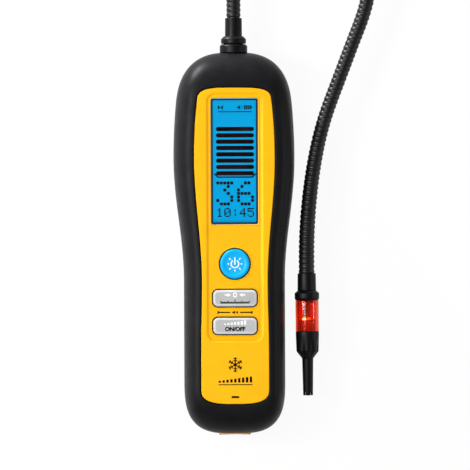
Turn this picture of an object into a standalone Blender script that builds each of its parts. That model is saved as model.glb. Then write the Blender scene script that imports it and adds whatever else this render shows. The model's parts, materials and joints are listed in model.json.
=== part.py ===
"""Hand-held infrared refrigerant leak detector with a stay-put gooseneck probe.

The detector lies on its back: +X is to its right, +Y towards the gooseneck gland and +Z out of
its face. The origin is on the flat back, in the middle of the housing's length and width.
Lengths are in metres.
"""

import math
from dataclasses import dataclass

import bmesh
import bpy
import numpy as np
from mathutils import Matrix, Vector

MM = 0.001

# Clearances
GAP = 0.3 * MM
HALF_GAP = GAP / 2
SURPLUS = 2.0 * MM

# Housing, seen from the front
HEAD_SWELL = 5.3 * MM
HEAD_Y = 45.0 * MM
HEAD_TAPER = 5.0 * MM
GRIP_BORDER = 9.05 * MM
GRIP_Y = -20.0 * MM
BODY_CAP = 29.0 * MM
TOP_ROUNDNESS = 2.9
BOTTOM_ROUNDNESS = 3.1

# Yellow face, seen from the front
FACE_HEAD_SWELL = 3.9 * MM
FACE_HEAD_TAPER = 2.6 * MM
FACE_FOOT_SWELL = 0.5 * MM
FACE_FOOT_Y = -24.0 * MM
FACE_FOOT_RUN = 30.0 * MM
FACE_TOP_BORDER = 18.75 * MM
FACE_BOTTOM_BORDER = 15.8 * MM
FACE_TOP_CAP = 7.0 * MM
FACE_TOP_ROUNDNESS = 3.5
FACE_BOTTOM_CAP = 8.5 * MM
FACE_BOTTOM_ROUNDNESS = 3.0
FACE_EDGE = 0.5 * MM

# Housing section
BODY_DEPTH = 37.0 * MM
PARTING_Z = BODY_DEPTH / 2
BOOT_WALL = 2.2 * MM
SHELL_WALL = 2.2 * MM
BACK_ROUNDING = 7.0 * MM
FRONT_POWER = 2.3
BACK_POWER = 2.6

# Recessed panel round the display and the keys
PANEL_SIDE = 2.45 * MM
PANEL_CORNER = 5.0 * MM
PANEL_BORDER = 2.65 * MM
PANEL_FOOT = 4.2 * MM
PANEL_DEPTH = 0.9 * MM
PANEL_SLOPE = 1.8 * MM
PANEL_PLATE = 2.2 * MM

# Display
WINDOW_SIDE = 2.75 * MM
WINDOW_LENGTH = 66.3 * MM
WINDOW_CORNER = 1.0 * MM
WINDOW_DROP = 3.3 * MM
WINDOW_PLATE = 1.8 * MM
WINDOW_SUNK = 0.3 * MM
WINDOW_FLANGE = 1.2 * MM
WINDOW_LIP = 2.2 * MM
RIM_WIDTH = 0.8 * MM
RIM_HEIGHT = 0.35 * MM
TRAY_WALL = 1.4 * MM
TRAY_FLOOR = 1.8 * MM
LCD_THICKNESS = 3.2 * MM

# Keys
POWER_RADIUS = 8.1 * MM
POWER_DROP = 20.8 * MM
KEY_INSET = 0.7 * MM
KEY_HEIGHT = 9.2 * MM
KEY_CORNER = 2.8 * MM
ZERO_DROP = 18.0 * MM
KEY_PITCH = 14.6 * MM
KEY_PROUD = 0.8 * MM
KEY_EDGE = 0.6 * MM
KEY_FLANGE = 1.1 * MM
KEY_FLANGE_THICKNESS = 1.2 * MM
KEY_TRAVEL = 1.0 * MM
DOME_RADIUS = 3.6 * MM
MAT_THICKNESS = 1.2 * MM
MAT_BORDER = 2.0 * MM
SLOT_WIDTH = 4.2 * MM
SLOT_HEIGHT = 1.1 * MM
SLOT_RISE = 4.0 * MM
SLOT_DEPTH = 0.6 * MM

# Main board and what hangs on it
BOARD_SIDE = 10.7 * MM
BOARD_THICKNESS = 1.6 * MM
BOARD_END = 7.0 * MM
BOARD_POST_RADIUS = 2.2 * MM
BOARD_POST_EDGE = 2.8 * MM
BOARD_SCREW_RADIUS = 0.9 * MM
BOARD_SCREW_LENGTH = 6.0 * MM
BOARD_SCREW_HEAD = 1.8 * MM
BOARD_SCREW_HEAD_HEIGHT = 1.4 * MM

# Case screws, under the boot
CASE_SCREW_X_TOP = 12.5 * MM
CASE_SCREW_X_BOTTOM = 10.5 * MM
CASE_SCREW_INSET_TOP = 13.5 * MM
CASE_SCREW_INSET_BOTTOM = 12.0 * MM
CASE_SCREW_RADIUS = 1.4 * MM
CASE_SCREW_HEAD = 2.6 * MM
CASE_SCREW_HEAD_HEIGHT = 2.0 * MM
CASE_SCREW_BITE = 9.0 * MM
CASE_POST_WALL = 1.2 * MM
CASE_POST_CAP = 3.4 * MM

# Battery and its door
BATTERY_CELL = 14.0 * MM
BATTERY_LENGTH = 65.0 * MM
DOOR_THICKNESS = 2.0 * MM
DOOR_LEDGE = 1.2 * MM
DOOR_SUNK = 0.2 * MM
DOOR_CORNER = 3.0 * MM
DOOR_FRAME = 2.0 * MM
DOOR_BORDER = 1.85 * MM
DOOR_TAB = 7.0 * MM
DOOR_SCREW_RADIUS = 1.0 * MM
DOOR_SCREW_HEAD = 1.9 * MM
DOOR_SCREW_HEAD_HEIGHT = 1.0 * MM
DOOR_SCREW_LENGTH = 6.0 * MM
DOOR_POST_RADIUS = 2.6 * MM
DOOR_GRIP_COUNT = 5
DOOR_GRIP_PITCH = 2.4 * MM
DOOR_GRIP_WIDTH = 14.0 * MM
DOOR_GRIP_DEPTH = 0.6 * MM

# Speaker, pump, sensor and socket
SPEAKER_RADIUS = 10.0 * MM
SPEAKER_MAGNET_RADIUS = 6.0 * MM
SPEAKER_HEIGHT = 4.6 * MM
SPEAKER_GAP = 11.0 * MM
SPEAKER_BORDER = 24.8 * MM
GRILLE_RADIUS = 8.0 * MM
GRILLE_SLOTS = 5
GRILLE_PITCH = 3.2 * MM
GRILLE_SLOT_WIDTH = 1.6 * MM
PUMP_X = -9.5 * MM
PUMP_MOTOR_RADIUS = 6.0 * MM
PUMP_MOTOR_LENGTH = 20.0 * MM
PUMP_HEAD_SIZE = 14.0 * MM
CELL_X = 8.5 * MM
CELL_WIDTH = 13.0 * MM
CELL_LENGTH = 40.0 * MM
CELL_HEIGHT = 12.0 * MM
CELL_LAMP_RADIUS = 4.0 * MM
CELL_LAMP_LENGTH = 7.0 * MM
CELL_GAP = 3.2 * MM
TUBE_RADIUS = 1.5 * MM
SOCKET_WIDTH = 9.0 * MM
SOCKET_LENGTH = 10.0 * MM
SOCKET_HEIGHT = 8.0 * MM
SOCKET_NOSE_RADIUS = 3.6 * MM
SOCKET_BORE_RADIUS = 2.8 * MM
SOCKET_PIN_RADIUS = 0.8 * MM
BEZEL_WIDTH = 16.6 * MM
BEZEL_HEIGHT = 11.0 * MM
BEZEL_PROUD = 0.5 * MM
BEZEL_CORNER = 2.0 * MM

# Gland and gooseneck
GLAND_COLLAR_RADIUS = 7.05 * MM
GLAND_COLLAR_LENGTH = 4.0 * MM
GLAND_NECK_RADIUS = 5.6 * MM
GLAND_FLANGE = 1.8 * MM
GLAND_FLANGE_BACK = 2.8 * MM
GLAND_SPIGOT_RADIUS = 4.9 * MM
GLAND_SPIGOT_SHOWN = 0.6 * MM
NUT_RADIUS = 6.3 * MM
NUT_LENGTH = 3.6 * MM
FERRULE_LENGTH = 9.6 * MM
FERRULE_RADIUS = 4.3 * MM
FERRULE_TAPER = 0.25 * MM
AIR_BORE = 2.0 * MM
NECK_RADIUS = 3.8 * MM
NECK_GROOVE = 0.45 * MM
NECK_BORE = 2.2 * MM
NECK_SIDES = 8
LINK_COUNT = 16
RIBS_PER_LINK = 7
LINK_GAP = 0.75 * MM
LOOP_RADIUS = 35.9 * MM
LOOP_RISE = 19.0 * MM
LOOP_STEP_DEG = 30
# The run beside the housing, from the loop down to the probe: X and Y.
RUN_ROUTE = (
    (70.8 * MM, 128.5 * MM),
    (63.7 * MM, 107.4 * MM),
    (55.6 * MM, 86.2 * MM),
    (47.9 * MM, 65.1 * MM),
    (42.8 * MM, 43.9 * MM),
    (39.8 * MM, 22.7 * MM),
    (38.35 * MM, 1.6 * MM),
    (38.25 * MM, -19.2 * MM),
)

# Probe, measured along its own axis from the end of the gooseneck
SLEEVE_DEPTH = 3.0 * MM
SLEEVE_RADIUS = 4.75 * MM
SLEEVE_LENGTH = 9.4 * MM
COLLAR_RADIUS = 6.5 * MM
COLLAR_LENGTH = 4.6 * MM
COLLAR_FLARE = 1.0 * MM
LENS_RADIUS = 6.15 * MM
LENS_WALL = 1.5 * MM
LENS_LENGTH = 16.3 * MM
LAMP_BOARD_THICKNESS = 1.0 * MM
LAMP_SIZE = 1.8 * MM
LAMP_COUNT = 4
AIR_PIPE_RADIUS = 1.9 * MM
AIR_PIPE_WALL = 0.6 * MM
INSERT_LENGTH = 6.0 * MM
INSERT_WALL = 1.2 * MM
TIP_SPIGOT_WALL = 0.9 * MM
TIP_BARREL_LENGTH = 10.4 * MM
TIP_BARREL_END_RADIUS = 5.85 * MM
TIP_TAPER_LENGTH = 3.7 * MM
TIP_TUBE_RADIUS = 2.95 * MM
TIP_TUBE_END_RADIUS = 2.6 * MM
TIP_TUBE_LENGTH = 19.6 * MM
TIP_BORE = 1.4 * MM
TIP_SPIGOT_LENGTH = 4.0 * MM
TIP_FLUTES = 10
TIP_FLUTE_DEPTH = 0.35 * MM
TIP_NOTCH_WIDTH = 1.6 * MM
TIP_NOTCH_DEPTH = 3.0 * MM
FILTER_THICKNESS = 1.5 * MM

# Mesh density
HALF_LOOP = 24
DENSE = 120
BEND_REACH = 25.0 * MM
BODY_SHARE = 1.8
BUTTON_SIDES = 28
ROUND_SIDES = 20
SMALL_SIDES = 8
SCREW_SIDES = 8
CORNER_STEPS = 3
FRONT_ARCH_STEPS = 5
BACK_ARCH_STEPS = 4
INNER_ARCH_STEPS = 2
HOSE_STEPS = 8

# Shares and angles used on several pieces
ROUND_END = 0.49
SCREW_CROWN = 0.7
SMOOTH_ANGLE = math.radians(35)
HEADING_STEP = 0.05 * MM

# Widths, built up from the battery in the grip
BATTERY_WIDTH = 2 * BATTERY_CELL
DOOR_OPENING_WIDTH = BATTERY_WIDTH + 2 * GAP + 2 * GAP
DOOR_WIDTH = DOOR_OPENING_WIDTH + 2 * DOOR_LEDGE
FACE_GRIP_WIDTH = DOOR_WIDTH + 2 * DOOR_BORDER
FACE_HEAD_WIDTH = FACE_GRIP_WIDTH + 2 * FACE_HEAD_SWELL
GRIP_WIDTH = FACE_GRIP_WIDTH + 2 * GRIP_BORDER
HEAD_WIDTH = GRIP_WIDTH + 2 * HEAD_SWELL
PANEL_WIDTH = FACE_GRIP_WIDTH - 2 * PANEL_SIDE
WINDOW_WIDTH = PANEL_WIDTH - 2 * WINDOW_SIDE
KEY_WIDTH = WINDOW_WIDTH - 2 * KEY_INSET
BOARD_WIDTH = GRIP_WIDTH - 2 * BOARD_SIDE
BOARD_POST_X = BOARD_WIDTH / 2 - BOARD_POST_EDGE

# The housing's length, built up from what stands in line behind its back
DOOR_OPENING_LENGTH = BATTERY_LENGTH + 2 * GAP + 2 * GAP
DOOR_LENGTH = DOOR_OPENING_LENGTH + 2 * DOOR_LEDGE + DOOR_TAB
DOOR_STACK = FACE_BOTTOM_BORDER + SHELL_WALL + DOOR_FRAME + DOOR_LENGTH
CELL_STACK = CELL_GAP + CELL_LAMP_LENGTH + CELL_LENGTH
SPEAKER_STACK = SPEAKER_GAP + 2 * SPEAKER_RADIUS + SPEAKER_BORDER
BODY_LENGTH = DOOR_STACK + CELL_STACK + SPEAKER_STACK
HALF_LENGTH = BODY_LENGTH / 2

# Heights worked out from the sizes above
SHELL_INSET = BOOT_WALL + GAP
INNER_INSET = SHELL_INSET + SHELL_WALL
PANEL_Z = BODY_DEPTH - PANEL_DEPTH
PLATE_Z = PANEL_Z - PANEL_PLATE
CEILING_Z = BODY_DEPTH - INNER_INSET
WINDOW_FLANGE_Z = PLATE_Z - GAP - WINDOW_FLANGE
TRAY_TOP = WINDOW_FLANGE_Z - GAP
LCD_Z = TRAY_TOP - LCD_THICKNESS
TRAY_Z = LCD_Z - GAP - TRAY_FLOOR
BOARD_TOP = TRAY_Z - GAP
BOARD_Z = BOARD_TOP - BOARD_THICKNESS
KEY_TOP = PANEL_Z + KEY_PROUD
KEY_FLANGE_TOP = PLATE_Z - GAP
KEY_BASE = KEY_FLANGE_TOP - KEY_FLANGE_THICKNESS
MAT_Z = BOARD_TOP + GAP
DOME_TOP = KEY_BASE - KEY_TRAVEL - GAP
DOOR_TOP = DOOR_SUNK + DOOR_THICKNESS
LEDGE_Z = DOOR_TOP + GAP
FRAME_TOP = LEDGE_Z + DOOR_FRAME

# Places worked out from the sizes above
FACE_TOP = HALF_LENGTH - FACE_TOP_BORDER
FACE_BOTTOM = FACE_BOTTOM_BORDER - HALF_LENGTH
PANEL_TOP = FACE_TOP - PANEL_BORDER
WINDOW_Y = PANEL_TOP - WINDOW_DROP - WINDOW_LENGTH / 2
POWER_Y = WINDOW_Y - WINDOW_LENGTH / 2 - POWER_DROP
ZERO_Y = POWER_Y - ZERO_DROP
SENSITIVITY_Y = ZERO_Y - KEY_PITCH
PANEL_LENGTH = PANEL_TOP - SENSITIVITY_Y + KEY_HEIGHT / 2 + PANEL_FOOT
PANEL_Y = PANEL_TOP - PANEL_LENGTH / 2
SLOT_Y = FACE_BOTTOM + SLOT_RISE
TRAY_WIDTH = WINDOW_WIDTH + 2 * (WINDOW_LIP + GAP)
TRAY_LENGTH = WINDOW_LENGTH + 2 * (WINDOW_LIP + GAP)
LCD_WIDTH = TRAY_WIDTH - 2 * (TRAY_WALL + GAP)
LCD_LENGTH = TRAY_LENGTH - 2 * (TRAY_WALL + GAP)
TRAY_BOTTOM = WINDOW_Y - TRAY_LENGTH / 2
BOARD_TOP_Y = WINDOW_Y + TRAY_LENGTH / 2 + GAP
BOARD_BOTTOM_Y = SENSITIVITY_Y - KEY_HEIGHT - BOARD_END
DOOR_TOP_Y = DOOR_STACK - HALF_LENGTH
DOOR_Y = DOOR_TOP_Y - DOOR_LENGTH / 2
BATTERY_Y = DOOR_Y - DOOR_TAB / 2
DOOR_SCREW_Y = DOOR_TOP_Y - DOOR_TAB / 2
DOOR_SCREW_SEAT = DOOR_SUNK + DOOR_SCREW_HEAD_HEIGHT
DOOR_POST_TOP = DOOR_SCREW_SEAT + DOOR_SCREW_LENGTH + DOOR_FRAME
CELL_FRONT_Y = DOOR_TOP_Y + CELL_STACK
PUMP_Y = CELL_FRONT_Y - PUMP_HEAD_SIZE / 2
SPEAKER_Y = CELL_FRONT_Y + SPEAKER_GAP + SPEAKER_RADIUS
GLAND_FLANGE_Y = HALF_LENGTH - INNER_INSET - GLAND_FLANGE_BACK - GLAND_FLANGE
GLAND_FLANGE_RADIUS = GLAND_NECK_RADIUS + GLAND_FLANGE
GLAND_HOLE_RADIUS = GLAND_NECK_RADIUS + GAP
COLLAR_Y = HALF_LENGTH + GAP
NUT_Y = COLLAR_Y + GLAND_COLLAR_LENGTH + GLAND_SPIGOT_SHOWN
FERRULE_Y = NUT_Y + NUT_LENGTH
NECK_START_Y = FERRULE_Y + FERRULE_LENGTH + LINK_GAP / 2
LOOP_CENTRE_Y = NECK_START_Y + LOOP_RISE
CASE_SCREW_TOP_Y = HALF_LENGTH - CASE_SCREW_INSET_TOP
CASE_SCREW_BOTTOM_Y = CASE_SCREW_INSET_BOTTOM - HALF_LENGTH
CASE_SCREWS = (
    (CASE_SCREW_X_TOP, CASE_SCREW_TOP_Y),
    (-CASE_SCREW_X_TOP, CASE_SCREW_TOP_Y),
    (CASE_SCREW_X_BOTTOM, CASE_SCREW_BOTTOM_Y),
    (-CASE_SCREW_X_BOTTOM, CASE_SCREW_BOTTOM_Y),
)
BOARD_POST_TOP_Y = TRAY_BOTTOM - GAP - BOARD_POST_RADIUS
BOARD_POST_BOTTOM_Y = BOARD_BOTTOM_Y + 2 * BOARD_POST_RADIUS
BOARD_SCREWS = (
    (BOARD_POST_X, BOARD_POST_TOP_Y),
    (-BOARD_POST_X, BOARD_POST_TOP_Y),
    (BOARD_POST_X, BOARD_POST_BOTTOM_Y),
    (-BOARD_POST_X, BOARD_POST_BOTTOM_Y),
)

UP_Y = Matrix.Rotation(-math.pi / 2, 4, "X")


@dataclass(frozen=True)
class Finish:
    """A plain finish: an sRGB colour, a roughness and what else the material needs."""

    name: str
    colour: tuple
    roughness: float
    metallic: float = 0.0
    transmission: float = 0.0

    def material(self):
        """Returns the material of this finish, making it on first use."""
        found = bpy.data.materials.get(self.name)
        if found:
            return found
        made = bpy.data.materials.new(self.name)
        made.use_nodes = True
        shader = made.node_tree.nodes["Principled BSDF"]
        linear = [pow(channel / 255, 2.2) for channel in self.colour]
        shader.inputs["Base Color"].default_value = (*linear, 1.0)
        shader.inputs["Roughness"].default_value = self.roughness
        shader.inputs["Metallic"].default_value = self.metallic
        shader.inputs["Transmission Weight"].default_value = self.transmission
        return made


BOOT_RUBBER = Finish("boot_rubber", (34, 34, 37), 0.62)
YELLOW_PLASTIC = Finish("yellow_plastic", (253, 194, 20), 0.38)
BLACK_PLASTIC = Finish("black_plastic", (24, 24, 26), 0.45)
CLEAR_PLASTIC = Finish("clear_plastic", (225, 235, 240), 0.08, transmission=0.9)
LCD_GLASS = Finish("lcd_glass", (16, 160, 218), 0.25)
WHITE_PLASTIC = Finish("white_plastic", (225, 225, 222), 0.5)
KEY_RUBBER = Finish("key_rubber", (205, 205, 200), 0.7)
BLUE_PLASTIC = Finish("blue_plastic", (20, 160, 220), 0.3)
GREY_PLASTIC = Finish("grey_plastic", (182, 183, 184), 0.4)
BOARD_GREEN = Finish("board_green", (22, 92, 52), 0.5)
STEEL = Finish("steel", (190, 190, 192), 0.3, metallic=1.0)
CELL_ALUMINIUM = Finish("cell_aluminium", (176, 178, 182), 0.35, metallic=1.0)
BATTERY_SLEEVE = Finish("battery_sleeve", (30, 70, 140), 0.4)
GOOSENECK_BLACK = Finish("gooseneck_black", (22, 22, 24), 0.35)
RED_LENS = Finish("red_lens", (200, 28, 18), 0.12, transmission=0.8)
LAMP_WHITE = Finish("lamp_white", (250, 236, 200), 0.3)
FILTER_WHITE = Finish("filter_white", (238, 238, 234), 0.9)


@dataclass(frozen=True)
class Plan:
    """An outline with a wide head and a narrower grip, the same left and right of X = 0."""

    top: float
    bottom: float
    head_half: float
    head_taper: float
    grip_half: float
    top_cap: float
    top_roundness: float
    bottom_cap: float
    bottom_roundness: float
    foot_swell: float = 0.0

    def side(self, y):
        """The half width at each Y, before the ends are rounded."""
        rise = np.clip((y - HEAD_Y) / (self.top - HEAD_Y), 0.0, 1.0)
        ease = eased((HEAD_Y - y) / (HEAD_Y - GRIP_Y))
        return (
            self.head_half
            - self.head_taper * rise**2
            - (self.head_half - self.grip_half) * ease
            + self.foot_swell * eased((FACE_FOOT_Y - y) / FACE_FOOT_RUN)
        )

    def right_half(self):
        """Points down the right side, from the top of the outline to its bottom."""
        turn = np.linspace(0, math.pi / 2, DENSE)
        rise, spread = rounding(turn, self.top_roundness)
        top_y = self.top - self.top_cap * (1 - rise)
        middle_y = np.linspace(self.top - self.top_cap, self.bottom + self.bottom_cap, DENSE)
        fall, narrowing = rounding(turn[::-1], self.bottom_roundness)
        bottom_y = self.bottom + self.bottom_cap * (1 - fall)
        y = np.concatenate((top_y, middle_y, bottom_y))
        share = np.concatenate((spread, np.ones(DENSE), narrowing))
        return np.column_stack((self.side(y) * share, y))


def eased(share):
    """A smooth step from 0 to 1, as the share goes from 0 to 1."""
    return (1 - np.cos(np.pi * np.clip(share, 0.0, 1.0))) / 2


def rounding(turn, power):
    """The two legs of a superellipse quarter, as cosine and sine raised to 2 / power."""
    return np.abs(np.cos(turn)) ** (2 / power), np.abs(np.sin(turn)) ** (2 / power)


def bend_weight(points):
    """Length along a curve, counted longer where it bends."""
    steps = np.diff(points, axis=0)
    heading = np.unwrap(np.arctan2(steps[:, 1], steps[:, 0]))
    turning = np.abs(np.gradient(heading))
    weight = np.cumsum(np.hypot(steps[:, 0], steps[:, 1]) + BEND_REACH * turning)
    return np.concatenate(([0.0], weight))


def matched_loops(plans):
    """Closed loops of the same number of points, one for each plan, whose points correspond.

    The first plan, the housing's own outline, has the larger say in where the points go.
    """
    halves = [plan.right_half() for plan in plans]
    weights = [bend_weight(half) for half in halves]
    shares = (BODY_SHARE, *[1.0] * (len(plans) - 1))
    shared = sum(share * weight / weight[-1] for share, weight in zip(shares, weights))
    wanted = np.linspace(0.0, shared[-1], HALF_LOOP + 1)
    loops = []
    for half in halves:
        right = np.column_stack([np.interp(wanted, shared, half[:, axis]) for axis in (0, 1)])
        loops.append(np.concatenate((right, right[-2:0:-1] * (-1, 1))))
    return loops


BODY_PLAN = Plan(
    top=HALF_LENGTH,
    bottom=-HALF_LENGTH,
    head_half=HEAD_WIDTH / 2,
    head_taper=HEAD_TAPER,
    grip_half=GRIP_WIDTH / 2,
    top_cap=BODY_CAP,
    top_roundness=TOP_ROUNDNESS,
    bottom_cap=BODY_CAP,
    bottom_roundness=BOTTOM_ROUNDNESS,
)
FACE_PLAN = Plan(
    top=FACE_TOP,
    bottom=FACE_BOTTOM,
    head_half=FACE_HEAD_WIDTH / 2,
    head_taper=FACE_HEAD_TAPER,
    grip_half=FACE_GRIP_WIDTH / 2,
    top_cap=FACE_TOP_CAP,
    top_roundness=FACE_TOP_ROUNDNESS,
    bottom_cap=FACE_BOTTOM_CAP,
    bottom_roundness=FACE_BOTTOM_ROUNDNESS,
    foot_swell=FACE_FOOT_SWELL,
)
BODY_LOOP, FACE_LOOP = matched_loops((BODY_PLAN, FACE_PLAN))
BORDER = np.linalg.norm(FACE_LOOP - BODY_LOOP, axis=1)
INWARD = (FACE_LOOP - BODY_LOOP) / BORDER[:, None]


def border_ring(depth, z):
    """A loop at a depth in from the housing's outline towards the face, at one height."""
    flat = BODY_LOOP + INWARD * (np.broadcast_to(depth, BORDER.shape))[:, None]
    return [(x, y, z) for x, y in flat]


def arch_rings(start, end, base_z, crown_z, power, steps, skip_first=False):
    """Loops over a rounded edge, from depth start at base_z to depth end at crown_z."""
    rings = []
    for step in range(1 if skip_first else 0, steps + 1):
        level, rise = rounding(math.pi / 2 * step / steps, power)
        rings.append(border_ring(end - (end - start) * level, base_z + (crown_z - base_z) * rise))
    return rings


def clear_scene():
    """Removes every object that the startup scene holds."""
    for obj in list(bpy.data.objects):
        bpy.data.objects.remove(obj, do_unlink=True)


def add_object(name, bm, finish=None):
    """Puts a bmesh into the scene as an object, with its faces pointing out."""
    bmesh.ops.recalc_face_normals(bm, faces=bm.faces)
    mesh = bpy.data.meshes.new(name)
    bm.to_mesh(mesh)
    bm.free()
    obj = bpy.data.objects.new(name, mesh)
    bpy.context.scene.collection.objects.link(obj)
    if finish:
        mesh.materials.append(finish.material())
        mesh.shade_smooth()
        mesh.set_sharp_from_angle(angle=SMOOTH_ANGLE)
    return obj


def add_quad(bm, corners):
    """Adds a face, split along its shorter diagonal so that facing skins split alike."""
    first, second, third, fourth = (corner.co for corner in corners)
    if (first - third).length > (second - fourth).length:
        corners = corners[1:] + corners[:1]
    bm.faces.new(corners[:3])
    bm.faces.new((corners[2], corners[3], corners[0]))


def loft(name, rings, finish=None, tube=False):
    """A solid through a row of loops: capped at both ends, or closed on itself as a tube."""
    bm = bmesh.new()
    rows = [[bm.verts.new(point) for point in ring] for ring in rings]
    count = len(rows[0])
    pairs = list(zip(rows, rows[1:] + rows[:1])) if tube else list(zip(rows, rows[1:]))
    for near, far in pairs:
        for index in range(count):
            after = (index + 1) % count
            add_quad(bm, (near[index], near[after], far[after], far[index]))
    if not tube:
        bm.faces.new(rows[0])
        bm.faces.new(rows[-1])
    return add_object(name, bm, finish)


def turned(name, profile, finish=None, sides=ROUND_SIDES, closed=False):
    """A solid of revolution about its own Z, from (radius, z) pairs.

    An open profile starts and ends on the axis. A closed one is the section of a ring.
    """
    bm = bmesh.new()
    rows = []
    for radius, z in profile:
        if radius == 0:
            rows.append([bm.verts.new((0, 0, z))] * sides)
            continue
        angles = [math.tau * (side + 0.5) / sides for side in range(sides)]
        rows.append(
            [bm.verts.new((radius * math.cos(a), radius * math.sin(a), z)) for a in angles]
        )
    pairs = list(zip(rows, rows[1:] + rows[:1])) if closed else list(zip(rows, rows[1:]))
    for near, far in pairs:
        for index in range(sides):
            after = (index + 1) % sides
            corners = [near[index], near[after], far[after], far[index]]
            bm.faces.new(list(dict.fromkeys(corners)))
    return add_object(name, bm, finish)


def disc(radius, low, high):
    """The profile of a plain cylinder."""
    return ((0, low), (radius, low), (radius, high), (0, high))


def rounded_rectangle(width, height, corner):
    """Points round a rectangle with rounded corners, centred on the origin."""
    points = []
    for quarter, (side, up) in enumerate(((1, 1), (-1, 1), (-1, -1), (1, -1))):
        centre = np.array((side * (width / 2 - corner), up * (height / 2 - corner)))
        for step in range(CORNER_STEPS + 1):
            angle = math.pi / 2 * (quarter + step / CORNER_STEPS)
            points.append(centre + corner * np.array((math.cos(angle), math.sin(angle))))
    return points


def plate_rings(levels, corner):
    """Loops of a stepped plate, from (width, height, z) levels that grow and shrink together."""
    width = levels[0][0]
    rings = []
    for level_width, level_height, z in levels:
        level_corner = corner + (level_width - width) / 2
        points = rounded_rectangle(level_width, level_height, level_corner)
        rings.append([(x, y, z) for x, y in points])
    return rings


def plate(name, levels, corner, finish=None):
    """A solid plate through the levels of plate_rings."""
    return loft(name, plate_rings(levels, corner), finish)


def box(name, width, length, low, high, finish=None):
    """A plain block, centred on X and Y, between two heights."""
    corners = [(-1, -1), (1, -1), (1, 1), (-1, 1)]
    rings = [[(x * width / 2, y * length / 2, z) for x, y in corners] for z in (low, high)]
    return loft(name, rings, finish)


def at(obj, x=0.0, y=0.0, z=0.0, turn=None):
    """Places an object, turned by a matrix if one is given, and returns it."""
    obj.location = (x, y, z)
    if turn is not None:
        obj.rotation_euler = turn.to_euler()
    return obj


def shape(target, operation, tools):
    """Cuts helpers from a piece, or joins them to it, all in one Boolean."""
    helpers = bpy.data.collections.new(f"{target.name}_{operation.lower()}")
    bpy.context.scene.collection.children.link(helpers)
    for tool in tools:
        tool.hide_render = True
        tool.display_type = "WIRE"
        bpy.context.scene.collection.objects.unlink(tool)
        helpers.objects.link(tool)
    modifier = target.modifiers.new(helpers.name, "BOOLEAN")
    modifier.operation = operation
    modifier.solver = "EXACT"
    modifier.operand_type = "COLLECTION"
    modifier.collection = helpers


def carry(carrier, pieces):
    """Parents pieces to what carries them, keeping their places."""
    bpy.context.view_layer.update()
    for piece in pieces:
        piece.parent = carrier
        piece.matrix_parent_inverse = carrier.matrix_world.inverted()


def gland_bore(name):
    """A cutter for the hole that the gland passes through."""
    bore = turned(name, disc(GLAND_HOLE_RADIUS, -INNER_INSET * 2, SURPLUS))
    return at(bore, y=HALF_LENGTH, z=PARTING_Z, turn=UP_Y)


def make_boot():
    """The rubber boot, moulded over the housing, open at the face, the back and both ends."""
    front = arch_rings(0, BORDER, PARTING_Z, BODY_DEPTH, FRONT_POWER, FRONT_ARCH_STEPS)
    inner_front = arch_rings(
        BOOT_WALL, BORDER, PARTING_Z, BODY_DEPTH - BOOT_WALL, FRONT_POWER, INNER_ARCH_STEPS
    )
    inner_back = arch_rings(
        BOOT_WALL,
        BACK_ROUNDING,
        PARTING_Z,
        BOOT_WALL,
        BACK_POWER,
        INNER_ARCH_STEPS,
        skip_first=True,
    )
    window = [border_ring(BORDER, BOOT_WALL), border_ring(BORDER, 0)]
    back = arch_rings(0, BACK_ROUNDING, PARTING_Z, 0, BACK_POWER, BACK_ARCH_STEPS, skip_first=True)
    rings = front + inner_front[::-1] + inner_back + window + back[::-1]
    boot = loft("boot", rings, BOOT_RUBBER, tube=True)
    bezel_hole = plate(
        "boot_bezel_hole",
        [
            (BEZEL_WIDTH + 2 * GAP, BEZEL_HEIGHT + 2 * GAP, z)
            for z in (-SURPLUS, BOOT_WALL + SURPLUS)
        ],
        BEZEL_CORNER + GAP,
    )
    at(bezel_hole, y=-HALF_LENGTH, z=PARTING_Z, turn=UP_Y)
    shape(boot, "DIFFERENCE", [gland_bore("boot_gland_hole"), bezel_hole])
    return boot


def make_bezel(name, high):
    """Half of the frame round the charging socket, in line with one of the two shells."""
    bezel = plate(
        name,
        [
            (BEZEL_WIDTH, BEZEL_HEIGHT, z)
            for z in (-BEZEL_PROUD, SHELL_INSET + SHELL_WALL / 2)
        ],
        BEZEL_CORNER,
    )
    at(bezel, y=-HALF_LENGTH, z=PARTING_Z, turn=UP_Y)
    other_half = box(name + "_other_half", HEAD_WIDTH, HEAD_WIDTH, 0, BODY_DEPTH)
    at(other_half, y=-HALF_LENGTH, z=PARTING_Z - BODY_DEPTH + GAP)
    if not high:
        other_half.location.z = PARTING_Z - GAP
    shape(bezel, "DIFFERENCE", [other_half])
    return bezel


def socket_bore(name):
    """A cutter for the hole of the charging socket's nose."""
    bore = turned(name, disc(SOCKET_NOSE_RADIUS + GAP, -SURPLUS, INNER_INSET + SURPLUS))
    return at(bore, y=-HALF_LENGTH, z=PARTING_Z, turn=UP_Y)


def post(name, radius, low, high, place):
    """An upright cylinder, used for posts and for the holes in them."""
    return at(turned(name, disc(radius, low, high), sides=SMALL_SIDES), *place)


def key_places():
    """The two grey keys: the end of each helper's name and its Y."""
    return (("zero", ZERO_Y), ("sensitivity", SENSITIVITY_Y))


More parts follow.
